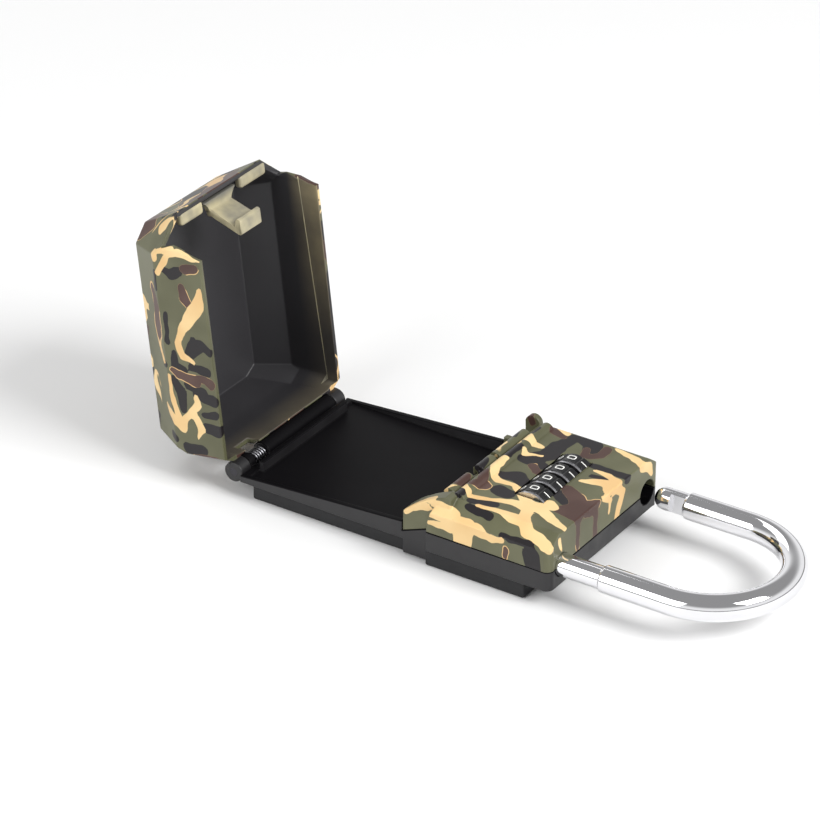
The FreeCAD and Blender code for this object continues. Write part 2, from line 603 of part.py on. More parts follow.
for index in range(4):
    number_name = "%d" % (index + 1)
    ring_start = dial_start(index) + " + disc_width"
    ring = rod("dial_ring_" + number_name, "y", (DIAL_X, ring_start, "dial_height"),
               "dial_radius", "dial_width")
    bore = rod("dial_bore_" + number_name, "y", (DIAL_X, ring_start + " - 1", "dial_height"),
               "sleeve_radius + turn_gap", "dial_width + 2")
    scallops = []
    for notch in range(10):
        lean = "(36 * %d + 18 - digit_lead)" % notch
        reach = "(dial_radius + scallop_radius - scallop_depth)"
        scallops.append(rod("scallop_%s_%d" % (number_name, notch), "y",
                            (DIAL_X + " + %s * sin(%s)" % (reach, lean), ring_start + " - 1",
                             "dial_height + %s * cos(%s)" % (reach, lean)),
                            "scallop_radius", "dial_width + 2"))
    finish(cut("dial_solid_" + number_name, ring, [bore] + scallops), "dial_" + number_name)

    disc = rod("disc_blank_" + number_name, "y", (DIAL_X, dial_start(index), "dial_height"),
               "disc_radius", "disc_width")
    disc_bore = rod("disc_bore_" + number_name, "y",
                    (DIAL_X, dial_start(index) + " - 1", "dial_height"),
                    "sleeve_radius + turn_gap", "disc_width + 2")
    gate = block("disc_gate_" + number_name,
                 (DIAL_X + " - notch_width / 2", dial_start(index) + " - 1",
                  "dial_height - disc_radius - 1"),
                 (DIAL_X + " + notch_width / 2", dial_start(index) + " + disc_width + 1",
                  "dial_height - disc_radius + notch_depth"))
    finish(cut("disc_solid_" + number_name, disc, [disc_bore, gate]), "code_disc_" + number_name)

    tube = rod("sleeve_blank_" + number_name, "y", (DIAL_X, dial_start(index), "dial_height"),
               "sleeve_radius", "dial_width + disc_width")
    tube_bore = rod("sleeve_bore_" + number_name, "y",
                    (DIAL_X, dial_start(index) + " - 1", "dial_height"),
                    "spindle_radius + turn_gap", "dial_width + disc_width + 2")
    finish(cut("sleeve_solid_" + number_name, tube, [tube_bore]), "dial_sleeve_" + number_name)

# code fence: a bar under the dials with one tooth beside each disc
TEETH_TOP = "(dial_height - disc_radius + notch_depth - fit_gap)"
fence = [block("fence_rail",
               (DIAL_X + " - fence_width / 2", "-slot_half - fence_before", FLOOR + " + fit_gap"),
               (DIAL_X + " + fence_width / 2", "slot_half + fence_after",
                FLOOR + " + fit_gap + fence_high"))]
for index in range(4):
    tooth_y = dial_start(index) + " - (dial_pitch - dial_width - disc_width + tooth_width) / 2"
    fence.append(block("fence_tooth_%d" % index,
                       (DIAL_X + " - fence_width / 2", tooth_y, FLOOR + " + 1"),
                       (DIAL_X + " + fence_width / 2", tooth_y + " + tooth_width", TEETH_TOP)))
finish(fuse("fence_solid", fence), "code_fence")

# click spring: a comb of four fingers standing against the front block
comb = block("comb_blank", (CAVITY_FRONT + " - click_thick", "-slot_half", FLOOR),
             (CAVITY_FRONT, "slot_half", "dial_height + click_over"))
comb_slits = [block("comb_slit_%d" % index,
                    (CAVITY_FRONT + " - 2", "%d * dial_pitch - click_slit / 2" % (index - 1),
                     FLOOR + " + click_root"),
                    (CAVITY_FRONT + " + 1", "%d * dial_pitch + click_slit / 2" % (index - 1),
                     "dial_height + click_over + 1"))
              for index in range(3)]
finish(cut("comb_solid", comb, comb_slits), "click_spring")

# toe bolt: a plunger across the toe leg's hole, shown drawn back
finish(block("toe_bolt_bar",
             (TOE_BOLT_X, TOE_TIP_Y + " - toe_bolt_length", "leg_height - toe_bolt_high / 2"),
             (TOE_BOLT_X + " + toe_bolt_width", TOE_TIP_Y, "leg_height + toe_bolt_high / 2")),
       "toe_bolt")

# reset lever: a small tab in the rear wall, reached from inside the box
finish(fuse("reset_solid", [
    block("reset_tab_out", (REAR_WALL + " - reset_reach", "reset_near", "reset_low"),
          (CAVITY_BACK + " + reset_play + reset_thick", "reset_near + reset_tab",
           "reset_low + reset_high")),
    block("reset_plate",
          (CAVITY_BACK + " + reset_play", "reset_near - reset_rim", "reset_low - reset_rim"),
          (CAVITY_BACK + " + reset_play + reset_thick", "reset_near + reset_tab + reset_rim",
           "reset_low + reset_high + reset_rim - reset_play")),
]), "reset_lever")

# shackle: long heel leg, bow, short toe leg with its notch
BOW_X = "(" + FRONT + " + bow_start)"
STEP_X = "(" + FRONT + " + step_out)"
TIP_X = "(" + FRONT + " + toe_out)"
bow = doc.addObject("Part::Torus", "shackle_bow")
bow.Placement = FreeCAD.Placement(FreeCAD.Vector(), FreeCAD.Rotation(FreeCAD.Vector(0, 0, 1), -90))
bind(bow, "Placement.Base.x", BOW_X)
bind(bow, "Placement.Base.z", "leg_height")
bind(bow, "Radius1", "leg_half")
bind(bow, "Radius2", "rod_radius")
bow.Angle3 = 180
tip = doc.addObject("Part::Sphere", "toe_dome")
for letter, place in (("x", TIP_X + " + leg_radius"), ("y", "leg_half"), ("z", "leg_height")):
    bind(tip, "Placement.Base." + letter, place)
bind(tip, "Radius", "leg_radius")
HEEL_END = "(" + CAVITY_FRONT + " - heel_reach)"
shackle = cut("shackle_solid", fuse("shackle_joined", [
    bow, tip,
    rod("heel_thick", "x", (STEP_X, "-leg_half", "leg_height"), "rod_radius",
        "bow_start - step_out"),
    rod("toe_thick", "x", (STEP_X, "leg_half", "leg_height"), "rod_radius",
        "bow_start - step_out"),
    rod("heel_thin", "x", (HEEL_END, "-leg_half", "leg_height"), "leg_radius",
        STEP_X + " - " + HEEL_END),
    rod("toe_thin", "x", (TIP_X + " + leg_radius", "leg_half", "leg_height"), "leg_radius",
        "step_out - toe_out - leg_radius"),
]), [
    block("toe_notch",
          (TIP_X + " + knob_length", "leg_half - rod_radius - 1", "leg_height - rod_radius - 1"),
          (TIP_X + " + knob_length + notch_length", "leg_half - notch_flat",
           "leg_height + rod_radius + 1")),
    cut("heel_groove",
        rod("groove_outer", "x", (HEEL_END + " + head_length", "-leg_half", "leg_height"),
            "leg_radius + 1", "groove_width"),
        [rod("groove_inner", "x", (HEEL_END + " + head_length - 1", "-leg_half", "leg_height"),
             "groove_radius", "groove_width + 2")]),
])
finish(shackle, "shackle")

# latch slide: a fork on the heel leg's groove, carrying the bar that locks the lid's hook
FORK_X = "(" + HEEL_END + " + head_length + (groove_width - fork_thick) / 2)"
NOSE_X = "(" + SHOULDER + " + step_out)"
LINK_X = "(" + DIAL_X + " - cheek_half - link_gap)"
latch = cut("latch_solid", fuse("latch_joined", [
    block("nose_bar", (NOSE_X, "-slot_half - latch_link", "latch_low"),
          (NOSE_X + " + latch_nose", "nose_half", LATCH_TOP)),
    block("nose_link", (NOSE_X, "-slot_half - latch_link", "latch_low"),
          (LINK_X, "-slot_half - link_play", LATCH_TOP)),
    block("latch_cross", (LINK_X + " - latch_cross_wide", "-latch_arm_out", "latch_low"),
          (LINK_X, "-slot_half - link_play", LATCH_TOP)),
    block("latch_arm", (LINK_X + " - latch_cross_wide", "-latch_arm_out", "latch_low"),
          (FORK_X + " + fork_thick", "-latch_arm_in", LATCH_TOP)),
    block("latch_fork", (FORK_X, "-leg_half - fork_half", "leg_height - fork_drop"),
          (FORK_X + " + fork_thick", "-latch_arm_in", LATCH_TOP)),
]), [
    rod("fork_seat", "x", (FORK_X + " - 1", "-leg_half", "leg_height"),
        "groove_radius + turn_gap", "fork_thick + 2"),
    block("fork_mouth",
          (FORK_X + " - 1", "-leg_half - groove_radius - turn_gap", "leg_height - fork_drop - 1"),
          (FORK_X + " + fork_thick + 1", "-leg_half + groove_radius + turn_gap", "leg_height")),
    block("fork_trim", (FORK_X + " - 1", "-leg_half - fork_half - 1", "latch_low"),
          (FORK_X + " + fork_thick + 1", "-latch_arm_out", LATCH_TOP + " + 1")),
])
finish(latch, "latch_slide")

# hinge pin
finish(rod("hinge_rod", "y",
           (HINGE_X, "-barrel_half - knuckle_length - knuckle_gap", "hinge_height"),
           "pin_radius", "2 * (barrel_half + knuckle_length + knuckle_gap)"), "hinge_pin")

# springs
Y_AXIS = FreeCAD.Rotation(FreeCAD.Vector(1, 0, 0), -90)
X_AXIS = FreeCAD.Rotation(FreeCAD.Vector(0, 1, 0), 90)
spring_back = number(CAVITY_BACK + " + shackle_wire")
spring_front = number(HEEL_END + " - shackle_wire")
spring("shackle_spring", number("shackle_wire"), number("shackle_coil"), number("shackle_turns"),
       spring_front - spring_back,
       FreeCAD.Placement(
           FreeCAD.Vector(spring_back, number("-leg_half"), number("leg_height")), X_AXIS))
small_start = number(TOE_SPRING_Y + " + small_wire")
small_end = number(TOE_TIP_Y + " - toe_bolt_length - small_wire")
spring("toe_bolt_spring", number("small_wire"), number("small_coil"), number("small_turns"),
       small_end - small_start,
       FreeCAD.Placement(
           FreeCAD.Vector(number(TOE_BOLT_X + " + toe_bolt_width / 2"), small_start,
                          number("leg_height")), Y_AXIS))
hinge_start = number("spring_slot_start + hinge_play + hinge_wire")
hinge_end = number("spring_slot_start + spring_slot - hinge_play - hinge_wire")
spring("hinge_spring", number("hinge_wire"), number("hinge_coil"), number("hinge_turns"),
       hinge_end - hinge_start,
       FreeCAD.Placement(
           FreeCAD.Vector(number(HINGE_X), hinge_start, number("hinge_height")), Y_AXIS))


# lid: faceted shell lofted through octagons, with its end cut away over the combination head
def octagon(up, inset):
    # half widths and lengths of the shell at a height above the rim, as expressions
    slope = "((lid_full_length - lid_front_length) / (lid_deep - lid_step))"
    rise = "(max(%s; lid_step) - lid_step)" % up
    fall = "(%s / (lid_deep - lid_step))" % rise
    end = "(lid_full_length - %s * %s - %s)" % (slope, rise, inset)
    end_half = "(lid_end_half - (lid_end_half - lid_front_half) * %s - %s * 0.4)" % (fall, inset)
    side_fall = "((max(%s; lid_side_top) - lid_side_top) / (lid_deep - lid_side_top))" % up
    side = "(body_half - (body_half - lid_front_side) * %s - %s)" % (side_fall, inset)
    corner = "(%s - lid_corner_slope * (%s - %s))" % (end, side, end_half)
    low_fall = "(1 - min(%s; lid_step) / lid_step)" % up
    back = ("(lid_back_mid + (lid_back_front - lid_back_mid) * %s"
            " + (lid_back_low - lid_back_mid) * %s + %s)" % (fall, low_fall, inset))
    back_half = ("(lid_back_mid_half - (lid_back_mid_half - lid_back_half) * %s - %s * 0.4)"
                 % (fall, inset))
    back_corner = "(%s + lid_back_slope * (%s - %s))" % (back, side, back_half)
    return [
        (back, "-" + back_half), (back_corner, "-" + side), (corner, "-" + side),
        (end, "-" + end_half), (end, end_half), (corner, side), (back_corner, side),
        (back, back_half),
    ]


def loft(body, name, kind, heights, inset):
    sketches = [outline(body, "%s_%d" % (name, index), "XY_Plane", octagon(up, inset), lift)
                for index, (up, lift) in enumerate(heights)]
    feature = body.newObject(kind, name)
    feature.Profile = sketches[0]
    feature.Sections = sketches[1:]
    feature.Ruled = True
    body.Tip = feature
    return feature


lid = new_body("lid_shell_body")
loft(lid, "lid_outside", "PartDesign::AdditiveLoft",
     [("0", "0"), ("lid_step", "lid_step"), ("lid_side_top", "lid_side_top"),
      ("lid_deep", "lid_deep")], "0")
loft(lid, "lid_inside", "PartDesign::SubtractiveLoft",
     [("0", "-0.5"), ("lid_step", "lid_step"), ("lid_side_top", "lid_side_top - lid_wall * 0.3"),
      ("lid_deep - lid_wall", "lid_deep - lid_wall")], "lid_wall")
pocket(lid, "lid_mouth", outline(lid, "lid_mouth_outline", "XZ_Plane", [
    ("rim_end", "-1"), ("lid_full_length + 5", "-1"), ("lid_full_length + 5", "lid_step"),
    ("rim_bulge - rim_top_in", "lid_step"), ("rim_bulge", "rim_bulge_up"),
    ("rim_bulge - rim_bulge_in", "rim_bulge_up - rim_bulge_drop"),
    ("rim_end + rim_lean", "rim_lean_up"),
]), "2 * body_half + 4", middle=True)
# inside the mouth the lid's corners are thinned to pass over the head's ears
pocket(lid, "ear_room", outline(lid, "ear_room_outline", "XZ_Plane", [
    ("rim_end - 1", "-1"), ("rim_bulge + 1", "-1"), ("rim_bulge + 1", "lid_step"),
    ("rim_end - 1", "lid_step"),
]), "2 * (tray_half + fit_gap)", middle=True)


# where the lid lies when its rim rests along the base's sloped edge
LID_X = "(" + TRAY_END + " - lid_overhang)"
LID_Z = "(pad_thick + band_low + seam_gap)"
LID_TILT = "atan((band_high - band_low) / (%s - %s))" % (SHOULDER, TRAY_END)
PIVOT_DX = "(%s - %s)" % (HINGE_X, LID_X)
PIVOT_DZ = "(hinge_height - %s)" % LID_Z
PIVOT_U = "(%s * cos(%s) + %s * sin(%s))" % (PIVOT_DX, LID_TILT, PIVOT_DZ, LID_TILT)
PIVOT_W = "(%s * cos(%s) - %s * sin(%s))" % (PIVOT_DZ, LID_TILT, PIVOT_DX, LID_TILT)


def round_sketch(body, name, plane, centre, radius, lift="0"):
    sketch = body.newObject("Sketcher::SketchObject", name)
    sketch.AttachmentSupport = [(origin_plane(body, plane), "")]
    sketch.MapMode = "FlatFace"
    bind(sketch, "AttachmentOffset.Base.z", lift)
    middle = FreeCAD.Vector(number(centre[0]), number(centre[1]), 0)
    sketch.addGeometry(Part.Circle(middle, FreeCAD.Vector(0, 0, 1), number(radius)))
    for kind, word, value in (("DistanceX", "across", centre[0]), ("DistanceY", "up", centre[1])):
        key = sketch.addConstraint(Sketcher.Constraint(kind, 0, 3, number(value)))
        sketch.renameConstraint(key, word)
        bind(sketch, "Constraints." + word, value)
    key = sketch.addConstraint(Sketcher.Constraint("Radius", 0, number(radius)))
    sketch.renameConstraint(key, "size")
    bind(sketch, "Constraints.size", radius)
    return sketch


pocket(lid, "lid_skirt", outline(lid, "lid_skirt_outline", "XZ_Plane", [
    ("lid_wall", "-1"), ("lid_full_length", "-1"), ("lid_full_length", "skirt_high"),
    ("lid_wall", "skirt_low"),
]), "2 * (body_half - lid_wall + skirt_depth)", middle=True)
pocket(lid, "barrel_room",
       round_sketch(lid, "barrel_room_outline", "XZ_Plane", (PIVOT_U, PIVOT_W),
                    "knuckle_radius + knuckle_gap"),
       "2 * (barrel_half + knuckle_gap)", middle=True)
pocket(lid, "spring_notch", outline(lid, "spring_notch_outline", "XZ_Plane", [
    ("-lid_wall - 1", "-1"), ("lid_wall + 1", "-1"), ("lid_wall + 1", "spring_notch_high"),
    ("-lid_wall - 1", "spring_notch_high"),
], "-spring_slot_start"), "spring_slot")
for tag, lift in (("near", "barrel_half + knuckle_gap"),
                  ("far", "-barrel_half - knuckle_gap - knuckle_length")):
    pad(lid, "knuckle_" + tag,
        round_sketch(lid, "knuckle_outline_" + tag, "XZ_Plane", (PIVOT_U, PIVOT_W),
                     "knuckle_radius", lift), "knuckle_length")
pocket(lid, "knuckle_bore",
       round_sketch(lid, "knuckle_bore_outline", "XZ_Plane", (PIVOT_U, PIVOT_W),
                    "pin_radius + turn_gap"),
       "2 * (barrel_half + knuckle_length + 2)", middle=True)

END_INNER = "(lid_full_length - lid_wall)"
END_LEAN = "((lid_full_length - lid_front_length) / (lid_deep - lid_step))"
for tag, start, length in (("near", 11.0, 12.0), ("far", -27.5, 14.5)):
    pad(lid, "rib_" + tag, outline(lid, "rib_outline_" + tag, "XZ_Plane", [
        (END_INNER + " - rib_deep", "lid_step"), (END_INNER + " + rib_bite", "lid_step"),
        (END_INNER + " + rib_bite - %s * rib_high" % END_LEAN, "lid_step + rib_high"),
        (END_INNER + " - rib_deep + rib_slant", "lid_step + rib_high"),
    ], "%g" % start), "%g" % length)

hook = new_body("latch_hook_body")
HOOK_TOP = "(lid_step + hook_plate_thick)"
pad(hook, "hook_plate", outline(hook, "hook_plate_outline", "XY_Plane", [
    ("hook_root", "-hook_half"), ("hook_root + hook_flare", "-hook_half"),
    (END_INNER + " - hook_back", "-hook_plate_half", "-hook_flare_arc"),
    (END_INNER + " - hook_back", "hook_plate_half"),
    ("hook_root + hook_flare", "hook_half", "-hook_flare_arc"),
    ("hook_root", "hook_half"),
], "lid_step"), "hook_plate_thick")
pad(hook, "hook_arm", outline(hook, "hook_arm_outline", "XZ_Plane", [
    ("hook_root", HOOK_TOP), ("hook_root", "lid_step"),
    ("hook_tip - hook_nose_long", "hook_low + hook_lip"),
    ("hook_tip - hook_nose_long", "hook_low"), ("hook_tip - hook_lip / 4", "hook_low"),
    ("hook_tip", "hook_low + hook_lip / 2"), ("hook_tip", "hook_low + hook_lip"),
    ("hook_tip - hook_web", "hook_low + hook_web"),
    ("hook_root + hook_neck", "lid_step"), ("hook_root + hook_foot", "lid_step"),
    ("hook_root + hook_foot", HOOK_TOP),
]), "2 * hook_half", middle=True)


def opened_lid():
    # closed place, then turned about the hinge pin by the lid's full travel
    closed = FreeCAD.Placement(
        FreeCAD.Vector(number(LID_X), 0, number(LID_Z)),
        FreeCAD.Rotation(FreeCAD.Vector(0, -1, 0), number(LID_TILT)))
    pivot = FreeCAD.Vector(number(HINGE_X), 0, number("hinge_height"))
    turn = FreeCAD.Rotation(FreeCAD.Vector(0, -1, 0), number("lid_open_angle"))
    return FreeCAD.Placement(FreeCAD.Vector(), turn, pivot).multiply(closed)


for body in (lid, hook):
    body.Placement = opened_lid()
finish(lid, "lid_shell")
finish(hook, "latch_hook")

doc.recompute()
faults = [item.Name for item in doc.Objects if "Invalid" in item.State or "Error" in item.State]
if faults:
    raise RuntimeError("not built: " + ", ".join(faults))
for item in parts:
    if item.Shape.isNull() or not item.Shape.isValid():
        raise RuntimeError("bad shape: " + item.Label)

os.makedirs("parts", exist_ok=True)
for item in parts:
    item.Shape.exportStep("parts/%s.step" % item.Label)
    print(item.Label, len(item.Shape.Solids), "solid,", round(item.Shape.Volume, 1), "mm3")
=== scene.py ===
import json
import math

import bmesh
import bpy
from mathutils import Matrix, Vector, noise
from mathutils.geometry import intersect_point_line


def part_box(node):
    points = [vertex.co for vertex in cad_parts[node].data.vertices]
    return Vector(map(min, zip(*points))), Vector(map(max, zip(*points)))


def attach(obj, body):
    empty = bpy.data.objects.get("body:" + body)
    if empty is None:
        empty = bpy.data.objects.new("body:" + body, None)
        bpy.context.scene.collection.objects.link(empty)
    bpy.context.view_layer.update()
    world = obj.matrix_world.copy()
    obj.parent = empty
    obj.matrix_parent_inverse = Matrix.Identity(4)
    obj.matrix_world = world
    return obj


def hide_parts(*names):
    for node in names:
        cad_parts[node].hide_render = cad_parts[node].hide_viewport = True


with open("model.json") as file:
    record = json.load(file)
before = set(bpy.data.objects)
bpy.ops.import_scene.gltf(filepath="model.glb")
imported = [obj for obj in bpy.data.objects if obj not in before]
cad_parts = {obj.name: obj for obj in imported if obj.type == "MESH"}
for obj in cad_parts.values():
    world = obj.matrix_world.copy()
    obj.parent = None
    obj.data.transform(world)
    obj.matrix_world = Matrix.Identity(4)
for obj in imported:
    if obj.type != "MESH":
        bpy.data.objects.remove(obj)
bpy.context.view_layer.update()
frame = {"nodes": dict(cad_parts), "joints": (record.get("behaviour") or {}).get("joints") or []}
nodes = frame["nodes"]
mm = 0.001
joints = {joint["name"]: joint for joint in frame["joints"]}
print("frame loaded,", len(nodes), "CAD pieces")


camera = {
    "place": (0.67373, -1.04281, 0.74635),
    "target": (-0.0004, 0.0, 0.010),
    "roll": 0.358,          # degrees, clockwise in the picture
    "lens": 176.53,
    "sensor": 36.0,
    "shift": (-0.0336, 0.0880),
    "clip": (0.05, 20.0),
}


def makeCamera():
    data = bpy.data.cameras.new("camera")
    data.lens = camera["lens"]
    data.sensor_width = camera["sensor"]
    data.sensor_fit = "HORIZONTAL"
    data.shift_x, data.shift_y = camera["shift"]
    data.clip_start, data.clip_end = camera["clip"]
    item = bpy.data.objects.new("camera", data)
    bpy.context.scene.collection.objects.link(item)
    look = Vector(camera["target"]) - Vector(camera["place"])
    turn = look.to_track_quat("-Z", "Y").to_matrix().to_4x4()
    item.matrix_world = (Matrix.Translation(camera["place"]) @ turn
                         @ Matrix.Rotation(math.radians(camera["roll"]), 4, "Z"))
    bpy.context.scene.camera = item


makeCamera()
bpy.context.scene.view_settings.view_transform = "Standard"
print("camera set")


def srgb(text):
    # a colour written as six hex digits, as linear values
    parts = [int(text[start:start + 2], 16) / 255 for start in (0, 2, 4)]
    return tuple(part / 12.92 if part <= 0.04045 else ((part + 0.055) / 1.055) ** 2.4
                 for part in parts) + (1,)


class Tree:
    # a node tree being put together
    def __init__(self, tree):
        self.tree = tree

    def add(self, kind, **props):
        node = self.tree.nodes.new(kind)
        for key, value in props.items():
            setattr(node, key, value)
        return node

    def feed(self, target, source):
        # a link from another node, or a fixed value
        if isinstance(source, bpy.types.NodeSocket):
            self.tree.links.new(source, target)
        else:
            target.default_value = source

    def math(self, kind, first, second=None):
        node = self.add("ShaderNodeMath", operation=kind)
        self.feed(node.inputs[0], first)
        if second is not None:
            self.feed(node.inputs[1], second)
        return node.outputs[0]

    def ranged(self, value, low, high, toLow=0.0, toHigh=1.0, **props):
        node = self.add("ShaderNodeMapRange", **props)
        self.feed(node.inputs["Value"], value)
        ends = {"From Min": low, "From Max": high, "To Min": toLow, "To Max": toHigh}
        for key, end in ends.items():
            self.feed(node.inputs[key], end)
        return node.outputs["Result"]

    def mix(self, factor, first, second, kind="RGBA"):
        node = self.add("ShaderNodeMix", data_type=kind)
        for key, source in (("Factor", factor), ("A", first), ("B", second)):
            self.feed(node.inputs[key], source)
        return node.outputs["Result"]


class Look(Tree):
    # one material being put together
    def __init__(self, name, color, metallic=0.0, roughness=0.5):
        self.material = bpy.data.materials.new(name)
        self.material.use_nodes = True
        super().__init__(self.material.node_tree)
        self.shader = self.tree.nodes["Principled BSDF"]
        self.give("Base Color", color)
        self.give("Metallic", metallic)
        self.give("Roughness", roughness)
        self.coords = self.add("ShaderNodeTexCoord").outputs["Object"]

    def give(self, key, source):
        self.feed(self.shader.inputs[key], source)

    def mapped(self, scale=(1, 1, 1), shift=(0, 0, 0), turn=(0, 0, 0), source=None):
        node = self.add("ShaderNodeMapping")
        self.feed(node.inputs["Vector"], source or self.coords)
        self.feed(node.inputs["Location"], shift)
        self.feed(node.inputs["Rotation"], [math.radians(angle) for angle in turn])
        self.feed(node.inputs["Scale"], scale)
        return node.outputs["Vector"]

    def noise(self, scale, detail=2.0, roughness=0.5, distortion=0.0, source=None, output="Fac"):
        node = self.add("ShaderNodeTexNoise")
        self.feed(node.inputs["Vector"], source or self.coords)
        self.feed(node.inputs["Scale"], scale)
        self.feed(node.inputs["Detail"], detail)
        self.feed(node.inputs["Roughness"], roughness)
        self.feed(node.inputs["Distortion"], distortion)
        return node.outputs[output]

    def along(self, direction, start=(0, 0, 0)):
        # how far a point lies from a start along a direction, in mm
        gone = self.add("ShaderNodeVectorMath", operation="SUBTRACT")
        self.feed(gone.inputs[0], self.coords)
        self.feed(gone.inputs[1], start)
        reach = self.add("ShaderNodeVectorMath", operation="DOT_PRODUCT")
        self.feed(reach.inputs[0], gone.outputs["Vector"])
        self.feed(reach.inputs[1], Vector(direction) / mm)
        return reach.outputs["Value"]

    def bump(self, height, depth, strength):
        # an unevenness with its depth in mm
        node = self.add("ShaderNodeBump")
        self.feed(node.inputs["Strength"], strength)
        self.feed(node.inputs["Distance"], depth * mm)
        self.feed(node.inputs["Height"], height)
        self.give("Normal", node.outputs["Normal"])


# where the lid lies: its own axes run along from the hinge, across, and deep from the rim
lidPlace = {
    "hinge": Vector(joints["lid_hinge"]["pos_m"]),
    "opened": -joints["lid_hinge"]["range_deg"][0],
    "rimTilt": 3.54,                # degrees
    "rimFromHinge": (3.37, 0.66),   # mm along and up, with the lid closed
}
leaning = math.radians(lidPlace["opened"] + lidPlace["rimTilt"])
lidAlong = Vector((math.cos(leaning), 0, math.sin(leaning)))
lidDeep = Vector((-math.sin(leaning), 0, math.cos(leaning)))
turned = Matrix.Rotation(-math.radians(lidPlace["opened"]), 3, "Y")
lidStart = lidPlace["hinge"] + turned @ Vector(
    (lidPlace["rimFromHinge"][0] * mm, 0, lidPlace["rimFromHinge"][1] * mm))


def inLid(point):
    # a point as along, across and deep, in mm from the lid's rim
    gone = (point - lidStart) / mm
    return Vector((gone.dot(lidAlong), point.y / mm, gone.dot(lidDeep)))


# in every finish a noise is its scale, detail, roughness and distortion, and a range is
# its low and high end, then what they become; the coat's patches are measured in mm
coat = {
    "olive": srgb("56563f"), "oliveShade": srgb("62624a"), "charcoal": srgb("1a1619"),
    "brown": srgb("46302a"), "brownShade": srgb("553f38"), "cream": srgb("e8cb95"),
    "creamShade": srgb("dcb67e"), "roughness": 0.38, "shine": 0.38,
    "shades": {"noise": (0.05, 2.0, 0.5, 0.0), "olive": (0.38, 0.62), "brown": (0.4, 0.6),
               "cream": (0.35, 0.65)},
    "layers": ("charcoal", "brown", "cream"),
    "spacing": 1.0,                         # of the grid that carries the brushed patches
    "spread": 0.45,                         # how far a stroke reaches past its half width
    "sway": ((0.08, 1.3), (0.35, 0.45)),    # scales and reaches that unsettle the strokes
    "seed": 7,                              # of the sway, which would follow the clock without it
    "farthest": 60.0, "margin": 3.0,        # what counts as far from every stroke
    "swing": {"noise": (0.06, 1.0, 0.5, 0.0), "reach": 19},
    "fading": (0.0, 8.0, 0.35, 0.0),        # what the free patches lose beside the brushed ones
    "clouds": {"charcoal": {"noise": (0.062, 1.0, 0.4, 0.4), "shift": (3, 11, 5), "from": 0.515},
               "brown": {"noise": (0.055, 1.0, 0.4, 0.4), "shift": (41, 7, 23), "from": 0.56}},
    "swoop": {"noise": (0.050, 1.0, 0.4, 0.8), "shift": (17, 29, 61), "from": 0.5,
              "widths": (0.45, 0.66, -0.004, 0.085)},
    "swoopWidth": {"noise": (0.055, 1.0, 0.5, 0.0), "shift": (9, 2, 70)},
    "steepness": 30.0, "edge": 0.12,        # how sharply a patch begins
    "creamRim": (0.50, 0.52, 0.0, 0.28),    # round the brown patches, in places
    "grain": (2600, 3.0, 0.6), "grainDepth": 0.03, "grainStrength": 0.3,
}


def brushed(mesh, strokes, place):
    # how far each point lies outside the nearest stroke of each layer
    layers = []
    for layer in coat["layers"]:
        bars = []
        for stroke in strokes[layer]:
            spots = [place(*values) for values in stroke]
            for (start, startWide), (end, endWide) in zip(spots, spots[1:]):
                run = end - start
                bars.append((start, run, run.length_squared, startWide, endWide - startWide))
        layers.append(bars)
    reached = []
    noise.seed_set(coat["seed"])
    for vert in mesh.vertices:
        spot = vert.co / mm
        for scale, reach in coat["sway"]:
            spot = spot + noise.noise_vector(spot * scale) * reach
        for bars in layers:
            least = coat["farthest"]
            for start, run, squared, wide, growth in bars:
                gone = spot - start
                if gone.length > least + run.length + wide + coat["margin"]:
                    continue
                share = min(max(gone.dot(run) / squared, 0.0), 1.0)
                least = min(least, (gone - run * share).length - wide - growth * share
                            - coat["spread"])
            reached.append(least)
    mesh.attributes.new("patches", "FLOAT_VECTOR", "POINT").data.foreach_set("vector", reached)


